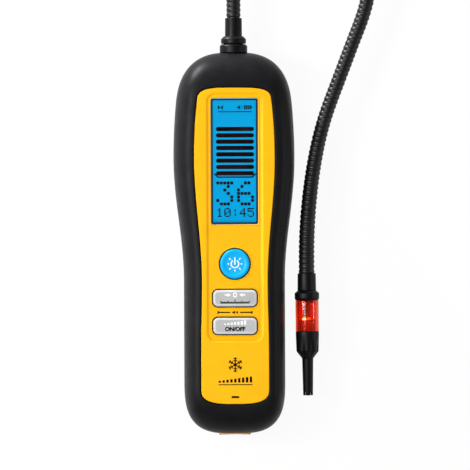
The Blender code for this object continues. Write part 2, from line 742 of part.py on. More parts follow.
def make_front_shell():
    """The yellow front shell, with the face that stands in the boot's window."""
    face_depth = BORDER + GAP
    rings = arch_rings(
        SHELL_INSET,
        BORDER,
        PARTING_Z + HALF_GAP,
        BODY_DEPTH - SHELL_INSET,
        FRONT_POWER,
        INNER_ARCH_STEPS,
    )
    rings.append(border_ring(face_depth, BODY_DEPTH - SHELL_INSET))
    rings.append(border_ring(face_depth, BODY_DEPTH - FACE_EDGE))
    rings.append(border_ring(face_depth + FACE_EDGE, BODY_DEPTH))
    inside = arch_rings(
        INNER_INSET, BORDER, PARTING_Z + HALF_GAP, CEILING_Z, FRONT_POWER, INNER_ARCH_STEPS
    )
    shell = loft("front_shell", inside[::-1] + rings, YELLOW_PLASTIC)
    case_post_top = case_screw_end() + CASE_POST_CAP
    posts = [
        post(f"case_post_{i}", case_post_radius(), PARTING_Z + GAP, case_post_top, place)
        for i, place in enumerate(CASE_SCREWS)
    ]
    board_post_top = PLATE_Z + PANEL_PLATE / 2
    pegs = [
        post(f"board_post_{i}", BOARD_POST_RADIUS, BOARD_TOP + GAP, board_post_top, place)
        for i, place in enumerate(BOARD_SCREWS)
    ]
    pocket = plate(
        "panel_pocket",
        [(PANEL_WIDTH + 2 * SHELL_WALL, PANEL_LENGTH + SHELL_WALL, z) for z in (PARTING_Z, PLATE_Z)],
        PANEL_CORNER,
    )
    shape(shell, "DIFFERENCE", [at(pocket, y=PANEL_Y), make_panel_recess()])
    bezel = make_bezel("front_bezel", high=True)
    shape(shell, "UNION", [*posts, *pegs, *raised_rims(), bezel])
    cutters = [gland_bore("front_gland_hole"), socket_bore("front_socket_hole"), *face_cutters()]
    cutters += [
        post(f"case_bore_{i}", CASE_SCREW_RADIUS + GAP, 0, case_screw_end() + GAP, place)
        for i, place in enumerate(CASE_SCREWS)
    ]
    cutters += [
        post(f"board_bore_{i}", BOARD_SCREW_RADIUS + GAP, 0, board_screw_end() + GAP, place)
        for i, place in enumerate(BOARD_SCREWS)
    ]
    shape(shell, "DIFFERENCE", cutters)
    return shell


def case_post_radius():
    """The outer radius of the posts that the case screws run through."""
    return CASE_SCREW_HEAD + GAP + CASE_POST_WALL


def case_screw_seat():
    """The height of the face under each case screw's head."""
    return SHELL_INSET + CASE_SCREW_HEAD_HEIGHT + 2 * GAP


def case_screw_end():
    """The height that each case screw reaches in the front shell."""
    return PARTING_Z + CASE_SCREW_BITE


def board_screw_end():
    """The height that each board screw reaches in its post."""
    return BOARD_Z - GAP + BOARD_SCREW_LENGTH


def make_panel_recess():
    """A cutter for the sloped panel that the display and the keys sit in."""
    inner_width = PANEL_WIDTH - 2 * PANEL_SLOPE
    inner_length = PANEL_LENGTH - 2 * PANEL_SLOPE
    panel = plate(
        "panel_recess",
        [
            (PANEL_WIDTH, PANEL_LENGTH, BODY_DEPTH + SURPLUS),
            (PANEL_WIDTH, PANEL_LENGTH, BODY_DEPTH),
            (inner_width, inner_length, PANEL_Z),
        ],
        PANEL_CORNER,
    )
    return at(panel, y=PANEL_Y)


def face_cutters():
    """Cutters for the window, the keys' holes and the small slot."""
    through = (CEILING_Z - SURPLUS, BODY_DEPTH + SURPLUS)
    window = plate(
        "window_hole",
        [(WINDOW_WIDTH, WINDOW_LENGTH, z) for z in through],
        WINDOW_CORNER,
    )
    power = turned("power_hole", disc(POWER_RADIUS + GAP, *through), sides=BUTTON_SIDES)
    slot = plate(
        "slot_hole",
        [(SLOT_WIDTH, SLOT_HEIGHT, z) for z in (BODY_DEPTH - SLOT_DEPTH, BODY_DEPTH + SURPLUS)],
        SLOT_HEIGHT / 4,
    )
    cutters = [at(window, y=WINDOW_Y), at(power, y=POWER_Y), at(slot, y=SLOT_Y)]
    for name, y in key_places():
        hole = plate(
            f"{name}_hole",
            [(KEY_WIDTH + 2 * GAP, KEY_HEIGHT + 2 * GAP, z) for z in through],
            KEY_CORNER + GAP,
        )
        cutters.append(at(hole, y=y))
    return cutters


def rim_pad(name, width, height, corner):
    """A low pad under a raised rim: the opening that it surrounds is cut through it later."""
    grow = 2 * RIM_WIDTH
    levels = [
        (width + grow, height + grow, PANEL_Z - RIM_HEIGHT),
        (width + grow, height + grow, PANEL_Z),
        (width + RIM_WIDTH, height + RIM_WIDTH, PANEL_Z + RIM_HEIGHT),
    ]
    return plate(name, levels, corner + RIM_WIDTH)


def raised_rims():
    """The raised rims round the window, the power button and the two keys."""
    inner = POWER_RADIUS + GAP
    power = turned(
        "power_rim",
        (
            (0, PANEL_Z - RIM_HEIGHT),
            (inner + RIM_WIDTH, PANEL_Z - RIM_HEIGHT),
            (inner + RIM_WIDTH, PANEL_Z),
            (inner + RIM_WIDTH / 2, PANEL_Z + RIM_HEIGHT),
            (0, PANEL_Z + RIM_HEIGHT),
        ),
        sides=BUTTON_SIDES,
    )
    window = rim_pad("window_rim", WINDOW_WIDTH, WINDOW_LENGTH, WINDOW_CORNER)
    rims = [at(window, y=WINDOW_Y), at(power, y=POWER_Y)]
    for name, y in key_places():
        rim = rim_pad(f"{name}_rim", KEY_WIDTH + 2 * GAP, KEY_HEIGHT + 2 * GAP, KEY_CORNER + GAP)
        rims.append(at(rim, y=y))
    return rims


def make_rear_shell():
    """The black rear shell: its flat back shows in the boot's rear window."""
    panel_depth = BORDER + GAP
    top_z = PARTING_Z - HALF_GAP
    rings = arch_rings(
        SHELL_INSET, BACK_ROUNDING, top_z, SHELL_INSET, BACK_POWER, INNER_ARCH_STEPS
    )
    rings.append(border_ring(panel_depth, SHELL_INSET))
    rings.append(border_ring(panel_depth, 0))
    inside = arch_rings(
        INNER_INSET, BACK_ROUNDING, top_z, INNER_INSET, BACK_POWER, INNER_ARCH_STEPS
    )
    inside.append(border_ring(panel_depth, INNER_INSET))
    inside.append(border_ring(panel_depth + SHELL_WALL, SHELL_WALL))
    shell = loft("rear_shell", inside[::-1] + rings, BLACK_PLASTIC)
    post_foot = INNER_INSET - SHELL_WALL / 2
    posts = [
        post(f"rear_post_{i}", case_post_radius(), post_foot, PARTING_Z - GAP, place)
        for i, place in enumerate(CASE_SCREWS)
    ]
    frame = plate(
        "door_frame",
        [
            (DOOR_WIDTH + 2 * DOOR_LEDGE, DOOR_LENGTH + 2 * DOOR_LEDGE, z)
            for z in (SHELL_WALL / 2, FRAME_TOP)
        ],
        DOOR_CORNER + DOOR_LEDGE,
    )
    cradle_top = PARTING_Z - SOCKET_HEIGHT / 2 - GAP
    cradle = box("socket_cradle", SOCKET_WIDTH, SOCKET_LENGTH, post_foot, cradle_top)
    at(cradle, y=socket_back() - SOCKET_LENGTH / 2)
    posts.append(
        post("door_post", DOOR_POST_RADIUS, SHELL_WALL / 2, DOOR_POST_TOP, (0, DOOR_SCREW_Y))
    )
    bezel = make_bezel("rear_bezel", high=False)
    shape(shell, "UNION", [*posts, at(frame, y=DOOR_Y), cradle, bezel])
    cutters = [
        at(
            plate(
                "door_hole",
                [(DOOR_WIDTH + 2 * GAP, DOOR_LENGTH + 2 * GAP, z) for z in (-SURPLUS, LEDGE_Z)],
                DOOR_CORNER + GAP,
            ),
            y=DOOR_Y,
        ),
        at(
            plate(
                "battery_hole",
                [(DOOR_OPENING_WIDTH, DOOR_OPENING_LENGTH, z) for z in (0, FRAME_TOP + SURPLUS)],
                DOOR_CORNER - DOOR_LEDGE,
            ),
            y=BATTERY_Y,
        ),
        gland_bore("rear_gland_hole"),
        socket_bore("rear_socket_hole"),
    ]
    for i, place in enumerate(CASE_SCREWS):
        cutters.append(post(f"head_bore_{i}", CASE_SCREW_HEAD + GAP, 0, case_screw_seat(), place))
        cutters.append(post(f"shank_bore_{i}", CASE_SCREW_RADIUS + GAP, 0, PARTING_Z, place))
    for slot in range(GRILLE_SLOTS):
        offset = (slot - (GRILLE_SLOTS - 1) / 2) * GRILLE_PITCH
        length = 2 * math.sqrt(GRILLE_RADIUS**2 - offset**2)
        cutter = plate(
            f"grille_slot_{slot}",
            [(length, GRILLE_SLOT_WIDTH, z) for z in (-SURPLUS, SHELL_WALL + SURPLUS)],
            GRILLE_SLOT_WIDTH * ROUND_END,
        )
        cutters.append(at(cutter, y=SPEAKER_Y + offset))
    bore_end = DOOR_POST_TOP - DOOR_FRAME + GAP
    cutters.append(post("door_screw_bore", DOOR_SCREW_RADIUS + GAP, 0, bore_end, (0, DOOR_SCREW_Y)))
    shape(shell, "DIFFERENCE", cutters)
    return shell


def make_door():
    """The battery door, with grip ridges cut into it."""
    door = plate(
        "battery_door",
        [
            (DOOR_WIDTH - 2 * FACE_EDGE, DOOR_LENGTH - 2 * FACE_EDGE, DOOR_SUNK),
            (DOOR_WIDTH, DOOR_LENGTH, DOOR_SUNK + FACE_EDGE),
            (DOOR_WIDTH, DOOR_LENGTH, DOOR_TOP),
        ],
        DOOR_CORNER - FACE_EDGE,
        BLACK_PLASTIC,
    )
    at(door, y=DOOR_Y)
    place = (0, DOOR_SCREW_Y)
    grooves = [
        post("door_head_bore", DOOR_SCREW_HEAD + GAP, -SURPLUS, DOOR_SCREW_SEAT + GAP, place),
        post("door_shank_bore", DOOR_SCREW_RADIUS + GAP, -SURPLUS, DOOR_TOP + SURPLUS, place),
    ]
    for groove in range(DOOR_GRIP_COUNT):
        cutter = box(
            f"door_grip_{groove}",
            DOOR_GRIP_WIDTH,
            DOOR_GRIP_PITCH / 2,
            -SURPLUS,
            DOOR_SUNK + DOOR_GRIP_DEPTH,
        )
        y = DOOR_TOP_Y - 2 * DOOR_TAB - groove * DOOR_GRIP_PITCH
        grooves.append(at(cutter, y=y))
    shape(door, "DIFFERENCE", grooves)
    return door


def screw(name, head_radius, head_height, radius, length, finish=STEEL):
    """A pan-head screw standing on its head, with the face under the head at Z = 0."""
    profile = (
        (0, -head_height),
        (head_radius * SCREW_CROWN, -head_height),
        (head_radius, -head_height / 2),
        (head_radius, 0),
        (radius, 0),
        (radius, length),
        (0, length),
    )
    return turned(name, profile, finish, sides=SCREW_SIDES)


def make_screws():
    """The door's screw, the case screws under the boot and the screws that hold the board."""
    door_screw = screw(
        "door_screw",
        DOOR_SCREW_HEAD,
        DOOR_SCREW_HEAD_HEIGHT,
        DOOR_SCREW_RADIUS,
        DOOR_SCREW_LENGTH,
    )
    screws = [at(door_screw, y=DOOR_SCREW_Y, z=DOOR_SCREW_SEAT)]
    for number, (x, y) in enumerate(CASE_SCREWS, start=1):
        z = case_screw_seat() - GAP
        case_screw = screw(
            f"case_screw_{number}",
            CASE_SCREW_HEAD,
            CASE_SCREW_HEAD_HEIGHT,
            CASE_SCREW_RADIUS,
            case_screw_end() - z,
        )
        screws.append(at(case_screw, x, y, z))
    for number, (x, y) in enumerate(BOARD_SCREWS, start=1):
        board_screw = screw(
            f"board_screw_{number}",
            BOARD_SCREW_HEAD,
            BOARD_SCREW_HEAD_HEIGHT,
            BOARD_SCREW_RADIUS,
            BOARD_SCREW_LENGTH,
        )
        screws.append(at(board_screw, x, y, BOARD_Z - GAP))
    return screws


def make_display():
    """The clear window, the display module under it and the tray that holds the module."""
    clear_width, clear_length = WINDOW_WIDTH - 2 * GAP, WINDOW_LENGTH - 2 * GAP
    flange_width, flange_length = WINDOW_WIDTH + 2 * WINDOW_LIP, WINDOW_LENGTH + 2 * WINDOW_LIP
    flange_top = WINDOW_FLANGE_Z + WINDOW_FLANGE
    window = plate(
        "display_window",
        [
            (clear_width, clear_length, PANEL_Z - WINDOW_SUNK),
            (clear_width, clear_length, flange_top),
            (flange_width, flange_length, flange_top),
            (flange_width, flange_length, WINDOW_FLANGE_Z),
        ],
        WINDOW_CORNER - GAP,
        CLEAR_PLASTIC,
    )
    module = box("lcd_module", LCD_WIDTH, LCD_LENGTH, LCD_Z, TRAY_TOP, LCD_GLASS)
    tray = box("lcd_tray", TRAY_WIDTH, TRAY_LENGTH, TRAY_Z, TRAY_TOP, WHITE_PLASTIC)
    well = box("lcd_well", LCD_WIDTH + 2 * GAP, LCD_LENGTH + 2 * GAP, LCD_Z - GAP, TRAY_TOP + SURPLUS)
    shape(tray, "DIFFERENCE", [at(well, y=WINDOW_Y)])
    return [at(piece, y=WINDOW_Y) for piece in (window, module, tray)]


def make_power_button():
    """The round button, slightly dished, with a flange that keeps it behind the panel."""
    edge = KEY_EDGE / 2
    profile = (
        (0, KEY_BASE),
        (POWER_RADIUS + KEY_FLANGE, KEY_BASE),
        (POWER_RADIUS + KEY_FLANGE, KEY_FLANGE_TOP),
        (POWER_RADIUS, KEY_FLANGE_TOP),
        (POWER_RADIUS, KEY_TOP - edge),
        (POWER_RADIUS - edge, KEY_TOP),
        (POWER_RADIUS - 3 * edge, KEY_TOP),
        (0, KEY_TOP - edge),
    )
    return at(turned("power_button", profile, BLUE_PLASTIC, sides=BUTTON_SIDES), y=POWER_Y)


def make_key(name, y):
    """A grey key with a bevelled edge and a flange that keeps it behind the panel."""
    grow = 2 * KEY_FLANGE
    bevel = 2 * KEY_EDGE
    key = plate(
        name,
        [
            (KEY_WIDTH - bevel, KEY_HEIGHT - bevel, KEY_TOP),
            (KEY_WIDTH, KEY_HEIGHT, KEY_TOP - KEY_EDGE),
            (KEY_WIDTH, KEY_HEIGHT, KEY_FLANGE_TOP),
            (KEY_WIDTH + grow, KEY_HEIGHT + grow, KEY_FLANGE_TOP),
            (KEY_WIDTH + grow, KEY_HEIGHT + grow, KEY_BASE),
        ],
        KEY_CORNER - KEY_EDGE,
        GREY_PLASTIC,
    )
    return at(key, y=y)


def make_keypad_mat():
    """The rubber mat on the board, with a dome under each of the three keys."""
    top = POWER_Y + POWER_RADIUS
    bottom = SENSITIVITY_Y - KEY_HEIGHT / 2
    mat = box(
        "keypad_mat",
        2 * (BOARD_POST_X - BOARD_POST_RADIUS - GAP),
        top - bottom + MAT_BORDER,
        MAT_Z,
        MAT_Z + MAT_THICKNESS,
        KEY_RUBBER,
    )
    at(mat, y=(top + bottom) / 2)
    domes = []
    for number, y in enumerate((POWER_Y, ZERO_Y, SENSITIVITY_Y)):
        profile = (
            (0, MAT_Z + MAT_THICKNESS / 2),
            (DOME_RADIUS, MAT_Z + MAT_THICKNESS / 2),
            (DOME_RADIUS, MAT_Z + MAT_THICKNESS),
            (DOME_RADIUS / 2, DOME_TOP),
            (0, DOME_TOP),
        )
        domes.append(at(turned(f"mat_dome_{number}", profile, sides=SMALL_SIDES), y=y))
    shape(mat, "UNION", domes)
    return mat


def make_board():
    """The main board, with holes for its screws and a few parts on its under side."""
    middle = (BOARD_TOP_Y + BOARD_BOTTOM_Y) / 2
    board = box(
        "main_board",
        BOARD_WIDTH,
        BOARD_TOP_Y - BOARD_BOTTOM_Y,
        BOARD_Z,
        BOARD_TOP,
        BOARD_GREEN,
    )
    at(board, y=middle)
    holes = [
        post(f"board_hole_{i}", BOARD_SCREW_RADIUS + GAP, BOARD_Z - SURPLUS, BOARD_TOP + SURPLUS, place)
        for i, place in enumerate(BOARD_SCREWS)
    ]
    shape(board, "DIFFERENCE", holes)
    return board


def make_battery():
    """The battery: two cells side by side in one sleeve."""
    ring = rounded_rectangle(BATTERY_WIDTH, BATTERY_CELL, BATTERY_CELL * ROUND_END)
    rings = [[(x, y, z) for x, y in ring] for z in (-BATTERY_LENGTH / 2, BATTERY_LENGTH / 2)]
    battery = loft("battery_pack", rings, BATTERY_SLEEVE)
    return at(battery, y=BATTERY_Y, z=DOOR_TOP + GAP + BATTERY_CELL / 2, turn=UP_Y)


def make_speaker():
    """The speaker over the grille in the back."""
    low = SHELL_WALL + GAP
    profile = (
        (0, low),
        (SPEAKER_RADIUS, low),
        (SPEAKER_RADIUS, low + SPEAKER_HEIGHT / 2),
        (SPEAKER_MAGNET_RADIUS, low + SPEAKER_HEIGHT),
        (0, low + SPEAKER_HEIGHT),
    )
    return at(turned("speaker", profile, BLACK_PLASTIC), y=SPEAKER_Y)


def make_pump():
    """The air pump: a square head and a round motor, lying on the rear shell's floor."""
    low = SHELL_WALL + GAP
    pump = box("air_pump", PUMP_HEAD_SIZE, PUMP_HEAD_SIZE, low, low + PUMP_HEAD_SIZE, BLACK_PLASTIC)
    at(pump, x=PUMP_X, y=PUMP_Y)
    motor = turned("pump_motor", disc(PUMP_MOTOR_RADIUS, 0, PUMP_MOTOR_LENGTH + PUMP_HEAD_SIZE / 2))
    at(motor, x=PUMP_X, y=PUMP_Y, z=low + PUMP_HEAD_SIZE / 2, turn=Matrix.Rotation(math.pi / 2, 4, "X"))
    shape(pump, "UNION", [motor])
    return pump


def make_sensor_cell():
    """The infrared cell: a metal block with a lamp at one end and a detector at the other."""
    low = SHELL_WALL + GAP
    cell = box("sensor_cell", CELL_WIDTH, CELL_LENGTH, low, low + CELL_HEIGHT, CELL_ALUMINIUM)
    at(cell, x=CELL_X, y=CELL_FRONT_Y - CELL_LENGTH / 2)
    lamp = turned(
        "cell_lamp",
        disc(CELL_LAMP_RADIUS, SURPLUS, CELL_LENGTH + CELL_LAMP_LENGTH),
        sides=SMALL_SIDES,
    )
    lamp_turn = Matrix.Rotation(math.pi / 2, 4, "X")
    at(lamp, x=CELL_X, y=CELL_FRONT_Y, z=low + CELL_HEIGHT / 2, turn=lamp_turn)
    shape(cell, "UNION", [lamp])
    return cell


def swept_tube(name, points, radius, finish):
    """A round tube or hose through points, as a curve with filled caps."""
    curve = bpy.data.curves.new(name, "CURVE")
    curve.dimensions = "3D"
    curve.bevel_depth = radius
    curve.bevel_resolution = 2
    curve.use_fill_caps = True
    spline = curve.splines.new("POLY")
    spline.points.add(len(points) - 1)
    for target, point in zip(spline.points, points):
        target.co = (*point, 1.0)
    curve.materials.append(finish.material())
    obj = bpy.data.objects.new(name, curve)
    bpy.context.scene.collection.objects.link(obj)
    return obj


def make_intake_hose():
    """The air hose from the gland to the sensor cell."""
    start = Vector((0, GLAND_FLANGE_Y - GAP, PARTING_Z))
    end = Vector((CELL_X, CELL_FRONT_Y + GAP, SHELL_WALL + GAP + CELL_HEIGHT / 2))
    lead = Vector((0, (start.y - end.y) / 3, 0))
    points = []
    for step in range(HOSE_STEPS + 1):
        t = step / HOSE_STEPS
        points.append(
            (1 - t) ** 3 * start
            + 3 * (1 - t) ** 2 * t * (start - lead)
            + 3 * (1 - t) * t**2 * (end + lead)
            + t**3 * end
        )
    return swept_tube("intake_hose", points, TUBE_RADIUS, CLEAR_PLASTIC)


def socket_back():
    """The Y of the charging socket's inner end, clear of the shells' curved end wall."""
    return INNER_INSET + SHELL_WALL + SOCKET_LENGTH - HALF_LENGTH


def make_socket():
    """The charging socket: a block with a nose, a bore and a centre pin."""
    face = socket_back() - SOCKET_LENGTH
    half_height = SOCKET_HEIGHT / 2
    socket = box(
        "charging_socket", SOCKET_WIDTH, SOCKET_LENGTH, -half_height, half_height, BLACK_PLASTIC
    )
    at(socket, y=face + SOCKET_LENGTH / 2, z=PARTING_Z)
    nose_length = face + HALF_LENGTH
    nose = turned("socket_nose", disc(SOCKET_NOSE_RADIUS, 0, nose_length + SOCKET_LENGTH / 4))
    at(nose, y=-HALF_LENGTH, z=PARTING_Z, turn=UP_Y)
    bore = turned(
        "socket_bore",
        (
            (SOCKET_PIN_RADIUS, -SURPLUS),
            (SOCKET_BORE_RADIUS, -SURPLUS),
            (SOCKET_BORE_RADIUS, nose_length + SOCKET_LENGTH / 2),
            (SOCKET_PIN_RADIUS, nose_length + SOCKET_LENGTH / 2),
        ),
        sides=SMALL_SIDES,
        closed=True,
    )
    at(bore, y=-HALF_LENGTH, z=PARTING_Z, turn=UP_Y)
    shape(socket, "UNION", [nose])
    shape(socket, "DIFFERENCE", [bore])
    return socket


def make_gland():
    """The gland in the housing's end, its nut and the ferrule at the root of the gooseneck."""
    collar_end = COLLAR_Y + GLAND_COLLAR_LENGTH
    edge = FACE_EDGE
    seat = FERRULE_RADIUS + GAP
    spigot_end = NUT_Y + NUT_LENGTH / 2
    body = turned(
        "gland_body",
        (
            (AIR_BORE, GLAND_FLANGE_Y),
            (GLAND_FLANGE_RADIUS, GLAND_FLANGE_Y),
            (GLAND_FLANGE_RADIUS, GLAND_FLANGE_Y + GLAND_FLANGE),
            (GLAND_NECK_RADIUS, GLAND_FLANGE_Y + GLAND_FLANGE),
            (GLAND_NECK_RADIUS, COLLAR_Y),
            (GLAND_COLLAR_RADIUS - edge, COLLAR_Y),
            (GLAND_COLLAR_RADIUS, COLLAR_Y + edge),
            (GLAND_COLLAR_RADIUS, collar_end - edge),
            (GLAND_COLLAR_RADIUS - edge, collar_end),
            (GLAND_SPIGOT_RADIUS, collar_end),
            (GLAND_SPIGOT_RADIUS, spigot_end),
            (AIR_BORE, spigot_end),
        ),
        BLACK_PLASTIC,
        closed=True,
    )
    nut = turned(
        "gland_nut",
        (
            (seat, FERRULE_Y),
            (seat, spigot_end + GAP),
            (GLAND_SPIGOT_RADIUS + GAP, spigot_end + GAP),
            (GLAND_SPIGOT_RADIUS + GAP, NUT_Y),
            (NUT_RADIUS - edge, NUT_Y),
            (NUT_RADIUS, NUT_Y + edge),
            (NUT_RADIUS, FERRULE_Y - 2 * edge),
            (NUT_RADIUS - 2 * edge, FERRULE_Y),
        ),
        BLACK_PLASTIC,
        closed=True,
    )
    top = FERRULE_Y + FERRULE_LENGTH
    ferrule = turned(
        "base_ferrule",
        (
            (AIR_BORE, spigot_end + GAP),
            (FERRULE_RADIUS, spigot_end + GAP),
            (FERRULE_RADIUS, FERRULE_Y + edge),
            (FERRULE_RADIUS - FERRULE_TAPER, top - edge),
            (FERRULE_RADIUS - FERRULE_TAPER - edge, top),
            (AIR_BORE, top),
        ),
        BLACK_PLASTIC,
        sides=ROUND_SIDES,
        closed=True,
    )
    return [at(piece, z=PARTING_Z, turn=UP_Y) for piece in (body, nut, ferrule)]


def route_points():
    """The gooseneck's route: up from the gland, over the loop and down beside the housing."""
    points = [(0.0, NECK_START_Y), (0.0, (NECK_START_Y + LOOP_CENTRE_Y) / 2)]
    for degrees in range(180, -1, -LOOP_STEP_DEG):
        angle = math.radians(degrees)
        x = LOOP_RADIUS * (1 + math.cos(angle))
        points.append((x, LOOP_CENTRE_Y + LOOP_RADIUS * math.sin(angle)))
    return np.array(points + list(RUN_ROUTE))


class SmoothRoute:
    """A natural cubic spline through points, read by length along it."""

    def __init__(self, points):
        self.knots = np.concatenate(([0.0], np.cumsum(np.linalg.norm(np.diff(points, axis=0), axis=1))))
        self.points = points
        self.bends = self.second_derivatives()
        fine = np.linspace(0.0, self.knots[-1], len(points) * DENSE)
        places = np.array([self.at_knot(value) for value in fine])
        steps = np.linalg.norm(np.diff(places, axis=0), axis=1)
        self.fine = fine
        self.lengths = np.concatenate(([0.0], np.cumsum(steps)))
        self.length = self.lengths[-1]

    def second_derivatives(self):
        """Solves for the curvature at the knots, with straight ends."""
        count = len(self.knots)
        spans = np.diff(self.knots)
        slopes = np.diff(self.points, axis=0) / spans[:, None]
        system = np.eye(count)
        right = np.zeros((count, 2))
        for index in range(1, count - 1):
            before, after = spans[index - 1], spans[index]
            system[index, index - 1 : index + 2] = (before, 2 * (before + after), after)
            right[index] = 6 * (slopes[index] - slopes[index - 1])
        return np.linalg.solve(system, right)

    def at_knot(self, value):
        """The point of the spline at a knot value."""
        index = int(np.clip(np.searchsorted(self.knots, value) - 1, 0, len(self.knots) - 2))
        span = self.knots[index + 1] - self.knots[index]
        far = (value - self.knots[index]) / span
        near = 1 - far
        pull = (near**3 - near) * self.bends[index] + (far**3 - far) * self.bends[index + 1]
        return near * self.points[index] + far * self.points[index + 1] + pull * span**2 / 6

    def place(self, length):
        """The point at a length along the route."""
        return self.at_knot(np.interp(length, self.lengths, self.fine))

    def heading(self, length):
        """The unit direction at a length along the route."""
        step = self.place(length + HEADING_STEP) - self.place(length - HEADING_STEP)
        return step / np.linalg.norm(step)


def neck_ring(route, length, radius, pivot):
    """A loop of the gooseneck's section at one place on its route, relative to a pivot."""
    x, y = route.place(length)
    along = route.heading(length)
    across = np.array((-along[1], along[0]))
    ring = []
    for side in range(NECK_SIDES):
        angle = math.tau * side / NECK_SIDES
        shift = across * radius * math.cos(angle)
        ring.append((x + shift[0] - pivot[0], y + shift[1] - pivot[1], radius * math.sin(angle)))
    return ring


def make_link(number, route, start, end):
    """One ribbed link of the gooseneck, hollow for the air hose, with its origin at its joint."""
    pivot = route.place(start)
    low = start + LINK_GAP / 2
    high = end - LINK_GAP / 2
    pitch = (high - low) / RIBS_PER_LINK
    rings = [neck_ring(route, low, NECK_RADIUS - NECK_GROOVE, pivot)]
    for rib in range(RIBS_PER_LINK):
        rings.append(neck_ring(route, low + (rib + 0.5) * pitch, NECK_RADIUS, pivot))
        rings.append(neck_ring(route, low + (rib + 1) * pitch, NECK_RADIUS - NECK_GROOVE, pivot))
    for place in (high, (low + high) / 2, low):
        rings.append(neck_ring(route, place, NECK_BORE, pivot))
    link = loft(f"gooseneck_link_{number:02d}", rings, GOOSENECK_BLACK, tube=True)
    return at(link, pivot[0], pivot[1], PARTING_Z)


def make_gooseneck(route):
    """The links of the gooseneck, each carried by the one before it."""
    link_length = route.length / LINK_COUNT
    links = []
    for number in range(LINK_COUNT):
        link = make_link(number + 1, route, number * link_length, (number + 1) * link_length)
        if links:
            carry(links[-1], [link])
        links.append(link)
    return links


def probe_frame(route):
    """The matrix whose Z runs along the probe, from the end of the gooseneck."""
    x, y = route.place(route.length)
    along = route.heading(route.length - LINK_GAP)
    z_axis = Vector((along[0], along[1], 0))
    x_axis = Vector((0, 0, 1))
    y_axis = z_axis.cross(x_axis)
    turn = Matrix((x_axis, y_axis, z_axis)).transposed().to_4x4()
    return Matrix.Translation((x, y, PARTING_Z)) @ turn


def make_probe():
    """The pieces of the probe, in its own frame: Z runs towards the nozzle."""
    collar_z = SLEEVE_LENGTH - SLEEVE_DEPTH
    lens_z = collar_z + COLLAR_LENGTH + GAP
    lens_end = lens_z + LENS_LENGTH
    lens_bore = LENS_RADIUS - LENS_WALL
    pipe_bore = AIR_PIPE_RADIUS - AIR_PIPE_WALL
    edge = FACE_EDGE
    sleeve = turned(
        "tip_ferrule",
        (
            (NECK_RADIUS + GAP, -SLEEVE_DEPTH),
            (SLEEVE_RADIUS - edge / 2, -SLEEVE_DEPTH),
            (SLEEVE_RADIUS, edge - SLEEVE_DEPTH),
            (SLEEVE_RADIUS, collar_z - GAP),
            (NECK_BORE, collar_z - GAP),
            (NECK_BORE, GAP),
            (NECK_RADIUS + GAP, GAP),
        ),
        BLACK_PLASTIC,
        closed=True,
    )
    collar = turned(
        "tip_collar",
        (
            (NECK_BORE, collar_z),
            (SLEEVE_RADIUS, collar_z),
            (COLLAR_RADIUS, collar_z + COLLAR_FLARE),
            (COLLAR_RADIUS, lens_z - GAP - edge),
            (COLLAR_RADIUS - edge, lens_z - GAP),
            (lens_bore - GAP, lens_z - GAP),
            (lens_bore - GAP, lens_z + edge),
            (NECK_BORE, lens_z + edge),
        ),
        BLACK_PLASTIC,
        closed=True,
    )
    lens = turned(
        "light_ring",
        (
            (lens_bore, lens_z),
            (LENS_RADIUS, lens_z),
            (LENS_RADIUS, lens_end),
            (lens_bore, lens_end),
        ),
        RED_LENS,
        closed=True,
    )
    insert_z = lens_end - INSERT_LENGTH
    insert = turned(
        "threaded_insert",
        (
            (tip_spigot_radius() + GAP, insert_z + edge),
            (tip_spigot_radius() + GAP, lens_end),
            (lens_bore - GAP, lens_end),
            (lens_bore - GAP, insert_z),
            (AIR_PIPE_RADIUS + GAP, insert_z),
            (AIR_PIPE_RADIUS + GAP, insert_z + edge),
        ),
        BLACK_PLASTIC,
        closed=True,
    )
    pipe = turned(
        "air_pipe",
        (
            (pipe_bore, GAP),
            (AIR_PIPE_RADIUS, GAP),
            (AIR_PIPE_RADIUS, insert_z),
            (pipe_bore, insert_z),
        ),
        STEEL,
        sides=SMALL_SIDES,
        closed=True,
    )
    board_z = lens_z + edge + GAP
    lamp_board = turned(
        "lamp_board",
        (
            (AIR_PIPE_RADIUS + GAP, board_z),
            (lens_bore - GAP, board_z),
            (lens_bore - GAP, board_z + LAMP_BOARD_THICKNESS),
            (AIR_PIPE_RADIUS + GAP, board_z + LAMP_BOARD_THICKNESS),
        ),
        LAMP_WHITE,
        closed=True,
    )
    lamps = []
    for number in range(LAMP_COUNT):
        angle = math.tau * number / LAMP_COUNT
        middle = (AIR_PIPE_RADIUS + lens_bore) / 2
        lamp = box(
            f"lamp_{number}", LAMP_SIZE, LAMP_SIZE, board_z + edge, board_z + edge + LAMP_SIZE
        )
        lamps.append(at(lamp, middle * math.cos(angle), middle * math.sin(angle)))
    shape(lamp_board, "UNION", lamps)
    return [sleeve, collar, lens, insert, pipe, lamp_board], lamps, lens_end


def tip_spigot_radius():
    """The radius of the tip's spigot, which fits the threaded insert."""
    return LENS_RADIUS - LENS_WALL - 2 * GAP - INSERT_WALL


def tip_ring(radius, z, flute=0.0):
    """A loop of the tip's section, with shallow flutes if a depth is given."""
    ring = []
    sides = 2 * TIP_FLUTES
    for side in range(sides):
        reach = radius - (flute if side % 2 else 0.0)
        angle = math.tau * side / sides
        ring.append((reach * math.cos(angle), reach * math.sin(angle), z))
    return ring


